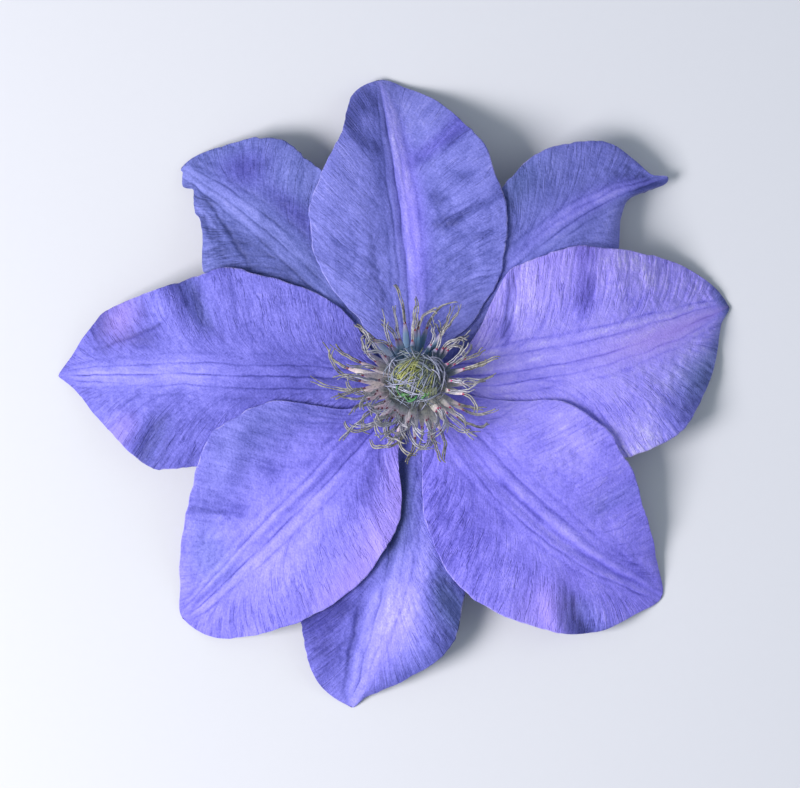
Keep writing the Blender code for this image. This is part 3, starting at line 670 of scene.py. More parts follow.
def stamen_paths():
    """Paths for every stamen: those that stand for solids, each redrawn until it is clear of the
    others, then the extra ones, which keep clear of the pistil only."""
    draw = np.random.default_rng(STAMEN_SEED)
    grid = np.linspace(-MAP_REACH, MAP_REACH, MAP_STEPS)
    tops = sepal_tops(layered({}), *np.meshgrid(grid, grid, indexing="ij"))
    found = []
    for place in range(len(OUTER_STAMENS) + INNER_STAMENS):
        for _ in range(MOST_DRAWS):
            inner = [draw.uniform(*span) for span in INNER_SPANS]
            stamen = OUTER_STAMENS[place] if place < len(OUTER_STAMENS) else inner
            path = stamen_path(stamen, tops, draw)
            if is_clear(path[0], [other[0] for other in found]):
                found.append(path)
                break
    extra = []
    for wanted, spans in EXTRA_STAMENS:
        wanted += len(extra)
        while len(extra) < wanted:
            path = stamen_path([draw.uniform(*span) for span in spans], tops, draw)
            if is_clear(path[0], []):
                extra.append(path)
    return found, extra


# Meshes


def axis_place():
    """The flower's axis in the frame, in mm: the middle of the receptacle, at its foot."""
    low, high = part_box("receptacle")
    return np.array([(low[0] + high[0]) / 2, (low[1] + high[1]) / 2, low[2]]) / METRES


AXIS = axis_place()


def put(name, data):
    """An object with this data, in the scene."""
    made = bpy.data.objects.new(name, data)
    bpy.context.scene.collection.objects.link(made)
    return made


class Shell:
    """Points in mm and faces of any number of corners, gathered piece by piece into one mesh."""

    def __init__(self):
        self.points = []
        self.faces = {}
        self.values = {}
        self.finishes = {}
        self.count = 0

    def add(self, points, faces, finish=0, **values):
        """Adds points, a list of arrays of faces, and named values that the points carry."""
        for group in faces:
            group = np.asarray(group) + self.count
            self.faces.setdefault(group.shape[1], []).append(group)
            self.finishes.setdefault(group.shape[1], []).append(np.full(len(group), finish))
        for key, value in values.items():
            shape = (len(points), *np.shape(value)[1:])
            self.values.setdefault(key, []).append(np.broadcast_to(value, shape))
        self.points.append(points)
        self.count += len(points)

    def thread(self, path, axes, widths, depths, sides, finish, grown, **values):
        """Adds a tube along a path, whose points carry how far along it they are."""
        points, faces = tube(path, *axes, widths, depths, sides)
        grown = np.concatenate([np.repeat(grown, sides), grown[:1], grown[-1:]])
        self.add(points, faces, finish, grown=grown, **values)

    def build(self, name, finishes):
        """The smooth-shaded object, with each named value as an attribute of its points, or as a
        UV map where the value has two numbers."""
        mesh = bpy.data.meshes.new(name)
        points = (np.concatenate(self.points) + AXIS) * METRES
        counts = [sum(map(len, groups)) for groups in self.faces.values()]
        sizes = np.repeat(list(self.faces), counts)
        corners = np.concatenate([np.concatenate(groups).ravel() for groups in self.faces.values()])
        chosen = np.concatenate([np.concatenate(groups) for groups in self.finishes.values()])
        mesh.vertices.add(len(points))
        mesh.vertices.foreach_set("co", points.astype(np.float32).ravel())
        mesh.loops.add(len(corners))
        mesh.loops.foreach_set("vertex_index", corners.astype(np.int32))
        mesh.polygons.add(len(sizes))
        mesh.polygons.foreach_set("loop_start", (np.cumsum(sizes) - sizes).astype(np.int32))
        mesh.polygons.foreach_set("material_index", chosen.astype(np.int32))
        mesh.update(calc_edges=True)
        for key, groups in self.values.items():
            value = np.concatenate(groups).astype(np.float32)
            if value.ndim == 2:
                mesh.uv_layers.new(name=key).data.foreach_set("uv", value[corners].ravel())
            else:
                mesh.attributes.new(key, "FLOAT", "POINT").data.foreach_set("value", value)
        mesh.shade_smooth()
        for finish in finishes:
            mesh.materials.append(finish)
        return put(name, mesh)


def tube(middle, aside, above, widths, depths, sides):
    """Rings of an ellipse carried along a path, closed with a point at each end: each ring is the
    middle plus aside times half the width times a cosine plus above times half the depth times a sine."""
    turn = np.arange(sides) * 2 * math.pi / sides
    rings = (
        middle[:, None]
        + aside[:, None] * (widths[:, None] / 2 * np.cos(turn))[..., None]
        + above[:, None] * (depths[:, None] / 2 * np.sin(turn))[..., None]
    )
    side = np.arange(sides)
    after = np.roll(side, -1)
    ring = np.arange(len(middle) - 1)[:, None] * sides
    last = (len(middle) - 1) * sides
    pole = np.full(sides, len(middle) * sides)
    a, b = (ring + side).ravel(), (ring + after).ravel()
    quads = np.stack([a, b, b + sides, a + sides], axis=1)
    start = np.stack([after, side, pole], axis=1)
    end = np.stack([side + last, after + last, pole + 1], axis=1)
    points = np.concatenate([rings.reshape(-1, 3), middle[:1], middle[-1:]])
    return points, [quads, np.concatenate([start, end])]


def lathe(heights, radii, lean, sides):
    """Level rings round an upright middle: each has its height, its radius and its lean to the back."""
    middle = np.stack([np.zeros_like(heights), lean, heights], axis=1)
    x, y, _ = np.eye(3)[:, None]
    return tube(middle, x, y, radii * 2, radii * 2, sides)


def unit(vectors):
    """The same directions at length one."""
    return vectors / np.linalg.norm(vectors, axis=-1, keepdims=True)


def stretch(path, first, last, count):
    """A path's points and headings from one of its steps to another, read again at even places."""
    middle, heading = path
    place = np.linspace(0, last - first, count)
    points = np.stack([hermite(middle[first : last + 1, axis], place) for axis in range(3)], axis=1)
    return points, np.interp(place + first, np.arange(PATH_STEPS), heading)


def frames(points, heading):
    """For each point of a path, the direction square to its heading and the one over it."""
    ahead = unit(np.gradient(points, axis=0))
    aside = np.stack([-np.sin(heading), np.cos(heading), np.zeros_like(heading)], axis=1)
    above = unit(np.cross(ahead, aside))
    return np.cross(above, ahead), above


# Sepal surface


def bar_spread(along):
    """How far apart the bar's veins lie along the blade, from one over most of it to none at the tip."""
    return np.minimum(1, 1.3 * (1 - along) ** 0.32) * (0.6 + 0.4 * ease(along / 0.25))


def fine_grid(sepal, rows, columns):
    """Places on the blade with a share of the columns kept for the bar, so that they follow its
    veins, and rows spaced between evenly and as on a half circle."""
    step = np.linspace(0, 1, rows)
    along = 0.45 * step + 0.55 * (1 - np.cos(step * math.pi)) / 2
    share = np.linspace(-1, 1, columns)
    along, share = np.meshgrid(along, share, indexing="ij")
    drawn_in = 1 - sepal.get("tip", 0) * np.exp((along - 1) / TIP_REACH)
    margin = margin_at(sepal, along, share) * drawn_in
    edge = np.minimum(BAR_EDGE * bar_spread(along), margin * 0.5)
    inner = edge * np.abs(share) / BAR_SHARE
    outer = edge + (margin - edge) * (np.abs(share) - BAR_SHARE) / (1 - BAR_SHARE)
    return along, np.sign(share) * np.where(np.abs(share) < BAR_SHARE, inner, outer)


def veins(sepal, along, across):
    """How deep each point lies in the lines of the bar, from -1 on a raised one to 1 in a sunk one.
    They wander a little, and come and go."""
    seed = sepal["seed"]
    level = across * 0
    wander = 0.25 * cloud(along * 11, level, seed) + 0.1 * cloud(along * 45, level, seed)
    total = 0
    for number, (place, depth, breadth) in enumerate(sepal["lines"]):
        row = level + number * 7
        stray = 0.3 * cloud(along * 13, row, seed) * min(1, abs(place))
        line = place * bar_spread(along) + wander + stray
        strength = depth * (0.65 + 0.45 * cloud(along * 12 + 20, row, seed))
        total = total + strength * bell((across - line) / breadth)
    for start, left, end, left_end, depth, breadth in sepal.get("creases", ()):
        passed = (along - start) / (end - start)
        line = left + (left_end - left) * passed + 2.5 * wander
        crease = depth * bell((across - line) / breadth)
        total = total + crease * ease(passed * 6) * ease((1 - passed) * 6)
    return np.clip(total, -1, 1) * ease((1 - along) * 12)


def net(sepal, along, across):
    """Fine side veins that part and meet: thin lines where smooth noise, drawn out along nerves
    that leave the bar at a low angle, passes through nought. They fade towards the margin."""
    share = share_of(sepal, along, across)
    station = rib_station(sepal, along, across, NERVE_SWEEP)
    drawn = cloud(station / 2.2 + 7, across / 8 + 20, sepal["seed"] + 1)
    cross = cloud(station / 3.4 + 17, across / 2.6 + 40, sepal["seed"] + 11)
    kept = 0.55 + 0.45 * cloud(station / 2 + 3, across / 2 + 9, sepal["seed"] + 8)
    lines = (bell(drawn / 0.07) + 0.4 * bell(cross / 0.05)) * kept
    return lines * ease((np.abs(across) - 1.8) / 2) * (1 - ease((share - 0.35) / 0.35))


def ribs(sepal, along, across):
    """The corrugation, from -1 to 1: uneven waves with narrow grooves between broad ridges, broken
    up by noise, over a finer one."""
    station = rib_station(sepal, along, across)
    seed = sepal["seed"] * 10
    phase = station / RIB_SPACING + 0.9 * cloud(station / 5, across / 8 + 20, seed)
    phase = phase + 0.35 * cloud(station / 1.7, across / 4, seed + 3)
    grooves = 0.5 - 1.45 * bell(np.sin(phase * math.pi) / 0.4)
    kept = 0.6 + 0.5 * cloud(station / 2.1, across / 5 + 20, seed + 2)
    return 0.6 * grooves * kept + 0.5 * cloud(station / 0.75, across / 3.5 + 20, seed + 1)


def rib_height(sepal, along, across):
    """How high the ribs stand: least beside the bar, full from half way out."""
    rise = 0.22 + 0.78 * ease((share_of(sepal, along, across) - 0.15) / 0.4)
    height = by_side(across, sepal["ribs"]) * rise
    return height * ease(np.abs(across) / 2.5) * ease((1 - along) * 14)


def crumple(sepal, along, across):
    """The height of the dimples between the bar and the ribs, and of the crumpled patches: noise at
    two widths."""
    x, share = along * blade_length(sepal), share_of(sepal, along, across)
    rough = cloud(x / 1.4 + 9, across / 1.4 + 30, sepal["seed"] + 3)
    rough = rough + 0.6 * cloud(x / 0.8, across / 0.75 + 50, sepal["seed"] + 4)
    size = 0.035 + 0.055 * bell((share - 0.4) / 0.18)
    for place, reach, height in sepal["crinkle"]:
        patch = height * 0.7 * bell((along - abs(place)) / reach) * ease((share - 0.1) / 0.3)
        size = size + on_side(across, place) * patch
    return rough * size * ease((np.abs(across) + 1) / 3)


def relief(sepal, along, across):
    """The fine height of the surface in mm: the bar, its lines and groove, the net, ribs and crumples."""
    spread = bar_spread(along)
    arched = np.sin(math.pi * along) ** 0.5
    bar = sepal["bar"][0] * bell((np.abs(across) / (BAR_EDGE * spread + 0.1)) ** 2) * arched
    groove = sepal["groove"] * bell(across / (1.1 * spread + 0.1)) * arched
    carved = VEIN_DEPTH * veins(sepal, along, across) + NET_DEPTH * net(sepal, along, across)
    ridged = rib_height(sepal, along, across) * ribs(sepal, along, across)
    return bar * 0.6 - groove - carved + ridged + crumple(sepal, along, across)


def patches(sepal, along, across):
    """The strength of each kind of pigment and painted light: the sum of its soft patches, each a hump
    both ways, and of its streaks, each a hump across the folds with its own breadth to either side.
    Pale patches are partly painted light, and deep and slate ones partly painted shade, cast shadows
    among them."""
    share = share_of(sepal, along, across)
    signed = share * np.sign(across)
    station = fold_station(sepal, along, across)
    stray = 0.5 * cloud(station / 1.2, across / 6, sepal["seed"] + 9)
    total = {kind: np.zeros(along.shape) for kind in ("pale", "deep", "blush", "slate")}
    for kind, rows in sepal["washes"].items():
        for place, middle, reach, breadth, size in rows:
            patch = size * bell((along - place) / reach) * bell((signed - middle) / breadth)
            total[kind] = total[kind] + patch
    for kind, rows in sepal.get("streaks", {}).items():
        for crest, behind, ahead, start, size in rows:
            past = station - abs(crest) + stray
            band = bell(past / np.where(past > 0, ahead, behind)) * ease((share - start * 0.7) / 0.35)
            total[kind] = total[kind] + on_side(across, crest) * size * band
    return total


def pigment_and_shade(sepal, along, across):
    """The blade's pigment, with painted light and shade in it: depth of tone from -1, deep, to 1, pale,
    and shares of blush and slate.
    """
    share = share_of(sepal, along, across)
    length = along * blade_length(sepal)
    combed = ribs(sepal, along, across)
    in_bar = bell((np.abs(across) / (BAR_EDGE * bar_spread(along))) ** 2) * ease(along * 3)
    drawn = cloud(length / 4, across / 0.6 + 30, sepal["seed"] + 12)
    drawn = drawn + 0.7 * cloud(length / 1.3, across / 0.9, sepal["seed"] + 13)
    tone = sepal["tone"] + sepal["bar"][1] * in_bar
    tone = tone - VEIN_TONE * veins(sepal, along, across) - NET_TONE * net(sepal, along, across)
    # painted shade in the rib grooves and painted light on their ridges
    tone = tone + RIB_LIGHT_AND_SHADE * combed * ease((share - 0.15) / 0.5)
    tone = tone + MOTTLE_TONE * cloud(along * 14, across / 5 + 30, sepal["seed"] + 7)
    tone = tone + DRAWN_TONE * drawn * bell(np.abs(across) / 6)
    total = patches(sepal, along, across)
    # deep patches and streaks darken as painted shade and pale ones lighten as painted light, besides the
    # pigment
    tone = tone + total["pale"] - total["deep"] * (1 - COMBING * combed)
    slate = np.clip(sepal["slate"] + total["slate"], 0, 1)
    return dict(tone=np.clip(tone, -1, 1), blush=np.clip(total["blush"], 0, 1), slate=slate)


def surface_points(sepal, along, across, side):
    """Points of the upper side, where side is 1, or of the underside, where it is -1: the middle
    plus the relief, moved half the thickness along the surface's own normal."""
    share = share_of(sepal, along, across)
    row = np.sign(across) * 3 + 9
    ragged = sum(size * cloud(along * waves, row, sepal["seed"] + seed) for size, waves, seed in RAGGED)
    ragged = ragged * sepal.get("ragged", 1) * share**4 * ease((1 - along) * 12)
    for place, depth, reach in sepal.get("notches", ()):
        notch = depth * share**2 * bell((along - abs(place)) / reach)
        ragged = ragged - on_side(across, place) * notch
    x, y = plan_point(sepal, along, across + np.sign(across) * ragged)
    z = blade_height(sepal, along, across) + relief(sepal, along, across)
    middle = np.stack([x, y, z], axis=2)
    down, out = np.gradient(middle, axis=(0, 1))
    normal = unit(np.cross(down, out) + (0, 0, 1e-9))
    thickness = MARGIN_THICKNESS + (SEPAL_THICKNESS - MARGIN_THICKNESS) * (1 - share**4)
    return middle + normal * (side * thickness / 2)[..., None]


def grid_quads(rows, columns, flipped):
    """The quads of a grid of points, counter-clockwise from over it, or the other way round."""
    row, column = np.meshgrid(np.arange(rows - 1), np.arange(columns - 1), indexing="ij")
    a = (row * columns + column).ravel()
    quads = np.stack([a, a + columns, a + columns + 1, a + 1], axis=1)
    return quads[:, ::-1] if flipped else quads


def rim(rows, columns):
    """The border of a grid of points, walked once round, starting and ending at its first point."""
    first, last = np.arange(columns), np.arange(columns) + (rows - 1) * columns
    down = np.arange(rows) * columns
    return np.concatenate([down[:-1], last[:-1], (down + columns - 1)[:0:-1], first[:0:-1]])


def make_sepal(sepal, finish):
    """One blade: a fine upper side, an underside with half the rows and columns, and between them
    a rim of five-cornered faces, each taking two steps of the upper border to one of the lower."""
    along, across = fine_grid(sepal, ROWS, COLUMNS)
    upper = surface_points(sepal, along, across, 1).reshape(-1, 3)
    lower = surface_points(sepal, along, across, -1)[::2, ::2].reshape(-1, 3)
    few_rows, few_columns = (ROWS + 1) // 2, (COLUMNS + 1) // 2
    border, low_border = rim(ROWS, COLUMNS), rim(few_rows, few_columns) + len(upper)
    start, between, end = border[::2], border[1::2], np.roll(border[::2], -1)
    edge = np.stack([start, low_border, np.roll(low_border, -1), end, between], axis=1)
    under_quads = grid_quads(few_rows, few_columns, True) + len(upper)
    share = share_of(sepal, along, across)
    lined = ease((share - 0.1) / 0.55) * ease((np.abs(across) / bar_spread(along) - 2.5) / 3)
    lined = (0.12 + 0.88 * lined) * np.clip(by_side(across, sepal["ribs"]) / 0.14, 0.3, 1.2)
    nerves = np.stack([rib_station(sepal, along, across), across], axis=2) / 10
    carried = dict(nerves=nerves, **pigment_and_shade(sepal, along, across), margin=share, lined=lined)
    for key, value in carried.items():
        both = value.reshape(len(upper), -1), value[::2, ::2].reshape(len(lower), -1)
        carried[key] = np.concatenate(both).squeeze()
    shell = Shell()
    shell.add(
        np.concatenate([upper, lower]), [grid_quads(ROWS, COLUMNS, False), under_quads, edge],
        underside=np.repeat([0.0, 1.0], [len(upper), len(lower)]), **carried)
    piece = shell.build("petal_" + sepal["name"][6:], [finish])
    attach(piece, "root")
    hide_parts(sepal["name"])


# Stamens, pistil and receptacle


def add_filament(shell, path, joint, draw):
    """The flat strap: broadest at its middle, thin, a little twisted, ending at the joint."""
    points, turn = stretch(path, 0, int(round(joint * (PATH_STEPS - 1))) + 1, FILAMENT_RINGS)
    aside, above = frames(points, turn)
    grown = np.linspace(0, 1, FILAMENT_RINGS)
    twist = (math.radians(draw.uniform(*TWISTS)) * grown)[:, None]
    axes = aside * np.cos(twist) + above * np.sin(twist), above * np.cos(twist) - aside * np.sin(twist)
    widths = np.array(FILAMENT_WIDTHS)
    widths[1:-1] *= draw.uniform(*FILAMENT_BREADTHS)
    widths = hermite(widths, grown * 4)
    depths = np.full(FILAMENT_RINGS, FILAMENT_DEPTH)
    facing = math.atan2(points[-1][1], points[-1][0]) / (2 * math.pi) % 1
    shell.thread(points, axes, widths, depths, FILAMENT_SIDES, 0, grown, hue=facing, across=0)


def kinks(draw, size):
    """A wandering offset along a thread: random values eased from one to the next, from nought."""
    values = np.concatenate([[0.0, 0.0], draw.normal(0, size, 6)])
    return hermite(values, np.linspace(0, 7, ANTHER_RINGS))


def add_anther(shell, path, joint, draw):
    """Two dried threads side by side from the joint. The pair rolls over along its length, and its
    kinked threads part a little and hook at the end."""
    first = int(round(joint * (PATH_STEPS - 1)))
    core, turn = stretch(path, first, PATH_STEPS - 1, ANTHER_RINGS)
    aside, above = frames(core, turn)
    grown = np.linspace(0, 1, ANTHER_RINGS)
    hue = np.clip((np.hypot(core[0, 0], core[0, 1]) - 8) / 6 + draw.uniform(-0.3, 0.3), 0, 1)
    start, onward = [math.radians(draw.uniform(*span)) for span in ANTHER_ROLLS]
    roll = start + onward * grown
    hook = draw.uniform(*HOOKS) * np.clip((grown - 0.72) / 0.28, 0, 1) ** 2
    part = draw.uniform(*PARTINGS) * np.clip((grown - 0.5) / 0.5, 0, 1) ** 2
    together = kinks(draw, 0.12)
    taper = (1 - 0.35 * ease((grown - 0.7) / 0.3)) * (0.75 + 0.25 * ease(grown * 6))
    # lit runs round each thread from 0 underneath to 1 on top; carried as across, it paints shade on the
    # lower half
    lit = (1 + np.sin(np.arange(ANTHER_SIDES) * 2 * math.pi / ANTHER_SIDES)) / 2
    for side in (-1, 1):
        apart = side * (0.24 * ease(grown * 8 + 0.3) + part)
        bend = hook * draw.uniform(0.5, 1.3)
        offset = apart * np.cos(roll) + together + kinks(draw, 0.045) + bend
        lift = apart * np.sin(roll) + kinks(draw, 0.05)
        end = int(round(ANTHER_RINGS * draw.uniform(*THREAD_ENDS)))
        points = (core + aside * offset[:, None] + above * lift[:, None])[:end]
        size = (ANTHER_THREAD * (1 + 0.22 * kinks(draw, 0.8)) * taper)[:end]
        axes = frames(points, turn[:end])
        across = np.concatenate([np.tile(lit, end), [0.5, 0.5]])
        shell.thread(points, axes, size, size * 0.9, ANTHER_SIDES, 1, grown[:end], hue=hue, across=across)


def make_stamens(filament, anther):
    """Every stamen as an object, the placed ones each standing for their own solid."""
    draw = np.random.default_rng(THREAD_SEED)
    solid, extra = stamen_paths()
    for number, (*path, joint) in enumerate((*solid, *extra), 1):
        shell = Shell()
        add_filament(shell, path, joint, draw)
        add_anther(shell, path, joint, draw)
        piece = shell.build(f"thread_{number:02d}", [filament, anther])
        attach(piece, "root")
        if number <= len(solid):
            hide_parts(f"stamen_{number:02d}")


def nest_top(x, y):
    """The height of the nest's rounded top over each plan point."""
    reach = np.hypot(x, y - PISTIL_LEAN) / (NEST_RADIUS + NEST_BRIM)
    return NEST_HEIGHT + NEST_HALF_HEIGHT * np.sqrt(np.clip(1 - reach**2, 0, 1))


def add_style(shell, x, y, lift, size, hue):
    """One style over the nest along a plan path: both its ends dip into the nest."""
    grown = np.linspace(0, 1, STYLE_RINGS)
    dip = STYLE_DIP * (1 - ease(grown * 4)) + STYLE_DIP * (1 - ease((1 - grown) * 4))
    path = np.stack([x, y, nest_top(x, y) + lift - dip], axis=1)
    slope = np.gradient(path, axis=0)
    heading = np.unwrap(np.arctan2(slope[:, 1], slope[:, 0]))
    width = size * (1 - 0.4 * grown)
    shell.thread(path, frames(path, heading), width, width, STYLE_SIDES, 1, grown, hue=hue)


def add_arc(shell, draw, radius, middle, sweep, lift, size, hue):
    """A style that runs round the nest: its radius drifts while its azimuth sweeps on."""
    grown = np.linspace(0, 1, STYLE_RINGS)
    angle = np.radians(middle + sweep * (grown - 0.5))
    reach = radius + draw.uniform(-2.4, 2.4) * (grown - 0.5)
    reach = reach + draw.uniform(-1.2, 0.8) * (2 * grown - 1) ** 2
    add_style(shell, reach * np.cos(angle), PISTIL_LEAN + 0.88 * reach * np.sin(angle), lift, size, hue)


def add_stroke(shell, draw, x, y, heading, length, lift, size, hue):
    """A style that runs across the nest on a slightly bent line."""
    along = np.linspace(-0.5, 0.5, STYLE_RINGS) * length
    bow = draw.uniform(-0.06, 0.06) * along**2 + 0.04 * np.sin(along * 1.3 + draw.uniform(0, 6))
    turn = math.radians(heading)
    x = x + along * math.cos(turn) - bow * math.sin(turn)
    y = y + along * math.sin(turn) + bow * math.cos(turn)
    pull = np.minimum(1, STYLE_REACH / np.maximum(np.hypot(x, y - PISTIL_LEAN), 1e-6))
    add_style(shell, x * pull, PISTIL_LEAN + (y - PISTIL_LEAN) * pull, lift, size, hue)


# The nest's styles, laid one group over another: how many; round the rim or across the middle; the
# span of their distance from the pistil's middle, of their azimuth, of their turn (the arc that they
# sweep, or their heading), length, lift over the nest, thickness and hue
NEST_GROUPS = (
    (9, "round", (4.6, 6.6), (205, 305), (18, 42), None, (0.3, 0.7), (0.4, 0.6), (0.0, 0.1)),
    (24, "round", (3.0, 6.6), (0, 360), (40, 110), None, (-0.5, 0.1), (0.2, 0.3), (0.45, 0.72)),
    (70, "across", (0, 5.6), (0, 360), (0, 180), (4, 8), (-0.6, 0.0), (0.18, 0.28), (0.42, 0.75)),
    (30, "across", (0.5, 5.0), (90, 200), (40, 80), (4, 7), (-0.2, 0.3), (0.2, 0.3), (0.16, 0.42)),
    (14, "round", (2.5, 5.4), (60, 150), (50, 110), None, (-0.2, 0.3), (0.2, 0.28), (0.2, 0.5)),
    (18, "across", (0.5, 4.8), (-60, 60), (30, 100), (4, 7), (-0.2, 0.3), (0.2, 0.3), (0.3, 0.8)),
    (13, "round", (4.6, 7.6), (-80, 50), (30, 80), None, (-0.3, 0.7), (0.28, 0.4), (0.66, 0.95)),
    (8, "round", (5.0, 7.8), (100, 300), (30, 70), None, (-0.4, 0.7), (0.22, 0.34), (0.6, 0.9)),
    (34, "across", (4.4, 7.4), (0, 360), (0, 180), (3, 6), (-0.6, 0.5), (0.2, 0.3), (0.5, 0.85)),
    (8, "across", (2.0, 6.0), (190, 290), (-40, 30), (7, 11), (0.1, 0.6), (0.3, 0.4), (0.75, 1.0)),
    (6, "across", (0.5, 4.0), (0, 360), (30, 80), (5, 8), (0.2, 0.6), (0.22, 0.3), (0.6, 0.9)),
)


def make_pistil(core_finish, style_finish):
    """The nest of silky styles on a shadowed core: group after group of fine threads, some curving
    round the rim and some across the middle, and a comb of short ones."""
    shell = Shell()
    levels = np.radians(np.linspace(-78, 82, 16))
    heights = np.append(DOME_TOP + GAP, NEST_HEIGHT + NEST_HALF_HEIGHT * CORE_SHARE * np.sin(levels))
    radii = np.append(NECK_RADIUS * 0.7, NEST_RADIUS * CORE_SHARE * np.cos(levels))
    shell.add(*lathe(heights, radii, nest_lean(heights), CORE_SIDES), grown=0, hue=0)
    draw = np.random.default_rng(NEST_SEED)
    for count, kind, distance, azimuth, turn, length, lift, thickness, hue in NEST_GROUPS:
        for _ in range(count):
            reach, angle = draw.uniform(*distance), draw.uniform(*azimuth)
            rest = draw.uniform(*lift), draw.uniform(*thickness), draw.uniform(*hue)
            if kind == "round":
                add_arc(shell, draw, reach, angle, draw.uniform(*turn) * draw.choice([-1, 1]), *rest)
                continue
            angle = math.radians(angle)
            place = reach * math.cos(angle), PISTIL_LEAN + reach * math.sin(angle)
            add_stroke(shell, draw, *place, draw.uniform(*turn), draw.uniform(*length), *rest)
    for number in range(COMB_TEETH):
        place = [start + step * number for start, step in zip(COMB_START, COMB_STEP)]
        add_stroke(shell, draw, *place, draw.normal(*COMB_HEADING), *COMB_TOOTH)
    piece = shell.build("silky_nest", [core_finish, style_finish])
    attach(piece, "root")
    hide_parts("pistil")


def make_receptacle(finish):
    """The cut stub with faint ridges, flaring to the collar, and the dome that closes it."""
    shell = Shell()
    stub, flare = np.linspace(0, STUB_TOP, 12), np.linspace(0, 1, 14)[1:]
    dome = COLLAR_RADIUS * np.cos(np.radians(np.linspace(4, 86, 14)))
    heights = np.concatenate([
        [0.0], stub, STUB_TOP + (COLLAR_BOTTOM - STUB_TOP) * flare, [COLLAR_TOP],
        [dome_height(radius) for radius in dome]])
    radii = np.concatenate([
        [STUB_RADIUS * 0.85], np.full_like(stub, STUB_RADIUS),
        STUB_RADIUS + (COLLAR_RADIUS - STUB_RADIUS) * ease(flare), [COLLAR_RADIUS], dome])
    points, faces = lathe(heights, radii, np.zeros_like(heights), STUB_SIDES)
    angle = np.arctan2(points[:, 1], points[:, 0])
    ridge = 1 + RIDGE * np.cos(STUB_RIDGES * angle) * (points[:, 2] < COLLAR_BOTTOM)
    points[:, :2] *= ridge[:, None]
    shell.add(points, faces)
    piece = shell.build("stalk_stub", [finish])
    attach(piece, "root")
    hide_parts("receptacle")


# Materials


class Socket:
    """A node's output whose arithmetic adds Math nodes."""

    def __init__(self, paint, output):
        self.paint = paint
        self.output = output

    def maths(self, operation, first, second):
        return self.paint.node("ShaderNodeMath", dict(operation=operation), {0: first, 1: second})

    def __add__(self, other):
        return self.maths("ADD", self, other)

    def __mul__(self, other):
        return self.maths("MULTIPLY", self, other)

    def __sub__(self, other):
        return self.maths("SUBTRACT", self, other)

    def __rsub__(self, other):
        return self.maths("SUBTRACT", other, self)

    __radd__ = __add__
    __rmul__ = __mul__


class Paint:
    """A material under construction, with one method for each kind of node that needs settings."""

    def __init__(self, name, roughness, **shader_values):
        self.material = bpy.data.materials.new(name)
        self.material.use_nodes = True
        self.tree = self.material.node_tree
        self.shader = self.tree.nodes["Principled BSDF"]
        self.shader.inputs["Roughness"].default_value = roughness
        for key, value in shader_values.items():
            self.shader.inputs[key.replace("_", " ")].default_value = value

    def node(self, kind, settings=None, inputs=None, output=0):
        """A node of this type with its settings made, its sockets set or linked, as a Socket."""
        made = self.tree.nodes.new(kind)
        for key, value in (settings or {}).items():
            if key == "stops":
                ramp = made.color_ramp
                while len(ramp.elements) < len(value):
                    ramp.elements.new(0.5)
                for element, (place, *colour) in zip(ramp.elements, value):
                    element.position = place
                    element.color = shade(*colour)
            else:
                setattr(made, key, value)
        for key, value in (inputs or {}).items():
            self.give(made.inputs[key], value)
        return Socket(self, made.outputs[output])

    def give(self, socket, value):
        """Links a Socket to an input, or sets the input to a constant."""
        if isinstance(value, Socket):
            self.tree.links.new(value.output, socket)
        elif socket.type == "RGBA":
            socket.default_value = shade(*value)
        else:
            socket.default_value = value

    def value(self, name):
        """The number that the piece's points carry under this name."""
        return self.node("ShaderNodeAttribute", dict(attribute_name=name), output=2)

    def place(self):
        """Object coordinates."""
        return self.node("ShaderNodeTexCoord", output=3)

    def noise(self, vector, scale, detail=3, rough=0.55, stretch=(1, 1, 1)):
        """Noise from 0 to 1 on a vector stretched by these factors."""
        mapped = self.node("ShaderNodeMapping", inputs={"Vector": vector, "Scale": stretch})
        values = {"Vector": mapped, "Scale": scale, "Detail": detail, "Roughness": rough}
        return self.node("ShaderNodeTexNoise", inputs=values)

    def ramp(self, value, *stops):
        """Colours at places along a value, each stop a place and its red, green and blue."""
        return self.node("ShaderNodeValToRGB", dict(stops=stops), {0: value})

    def mix(self, share, first, second):
        """Two colours mixed by a share."""
        return self.node("ShaderNodeMix", dict(data_type="RGBA"), {0: share, 6: first, 7: second}, output=2)

    def band(self, value, low, high):
        """A smooth step from 0 at low to 1 at high."""
        settings = dict(interpolation_type="SMOOTHSTEP")
        return self.node("ShaderNodeMapRange", settings, {0: value, 1: low, 2: high})

    def bump(self, height, strength, distance):
        """Feeds the shader's normal from a height."""
        values = {"Strength": strength, "Distance": distance, "Height": height}
        self.give(self.shader.inputs["Normal"], self.node("ShaderNodeBump", inputs=values))

    def colour(self, value):
        """Feeds the shader's base colour, and gives the finished material."""
        self.give(self.shader.inputs["Base Color"], value)
        return self.material


def shade(red, green, blue):
    """A colour given as it looks on a screen, from 0 to 255, as the linear values a shader takes."""
    return (*(((c / 255 + 0.055) / 1.055) ** 2.4 for c in (red, green, blue)), 1)


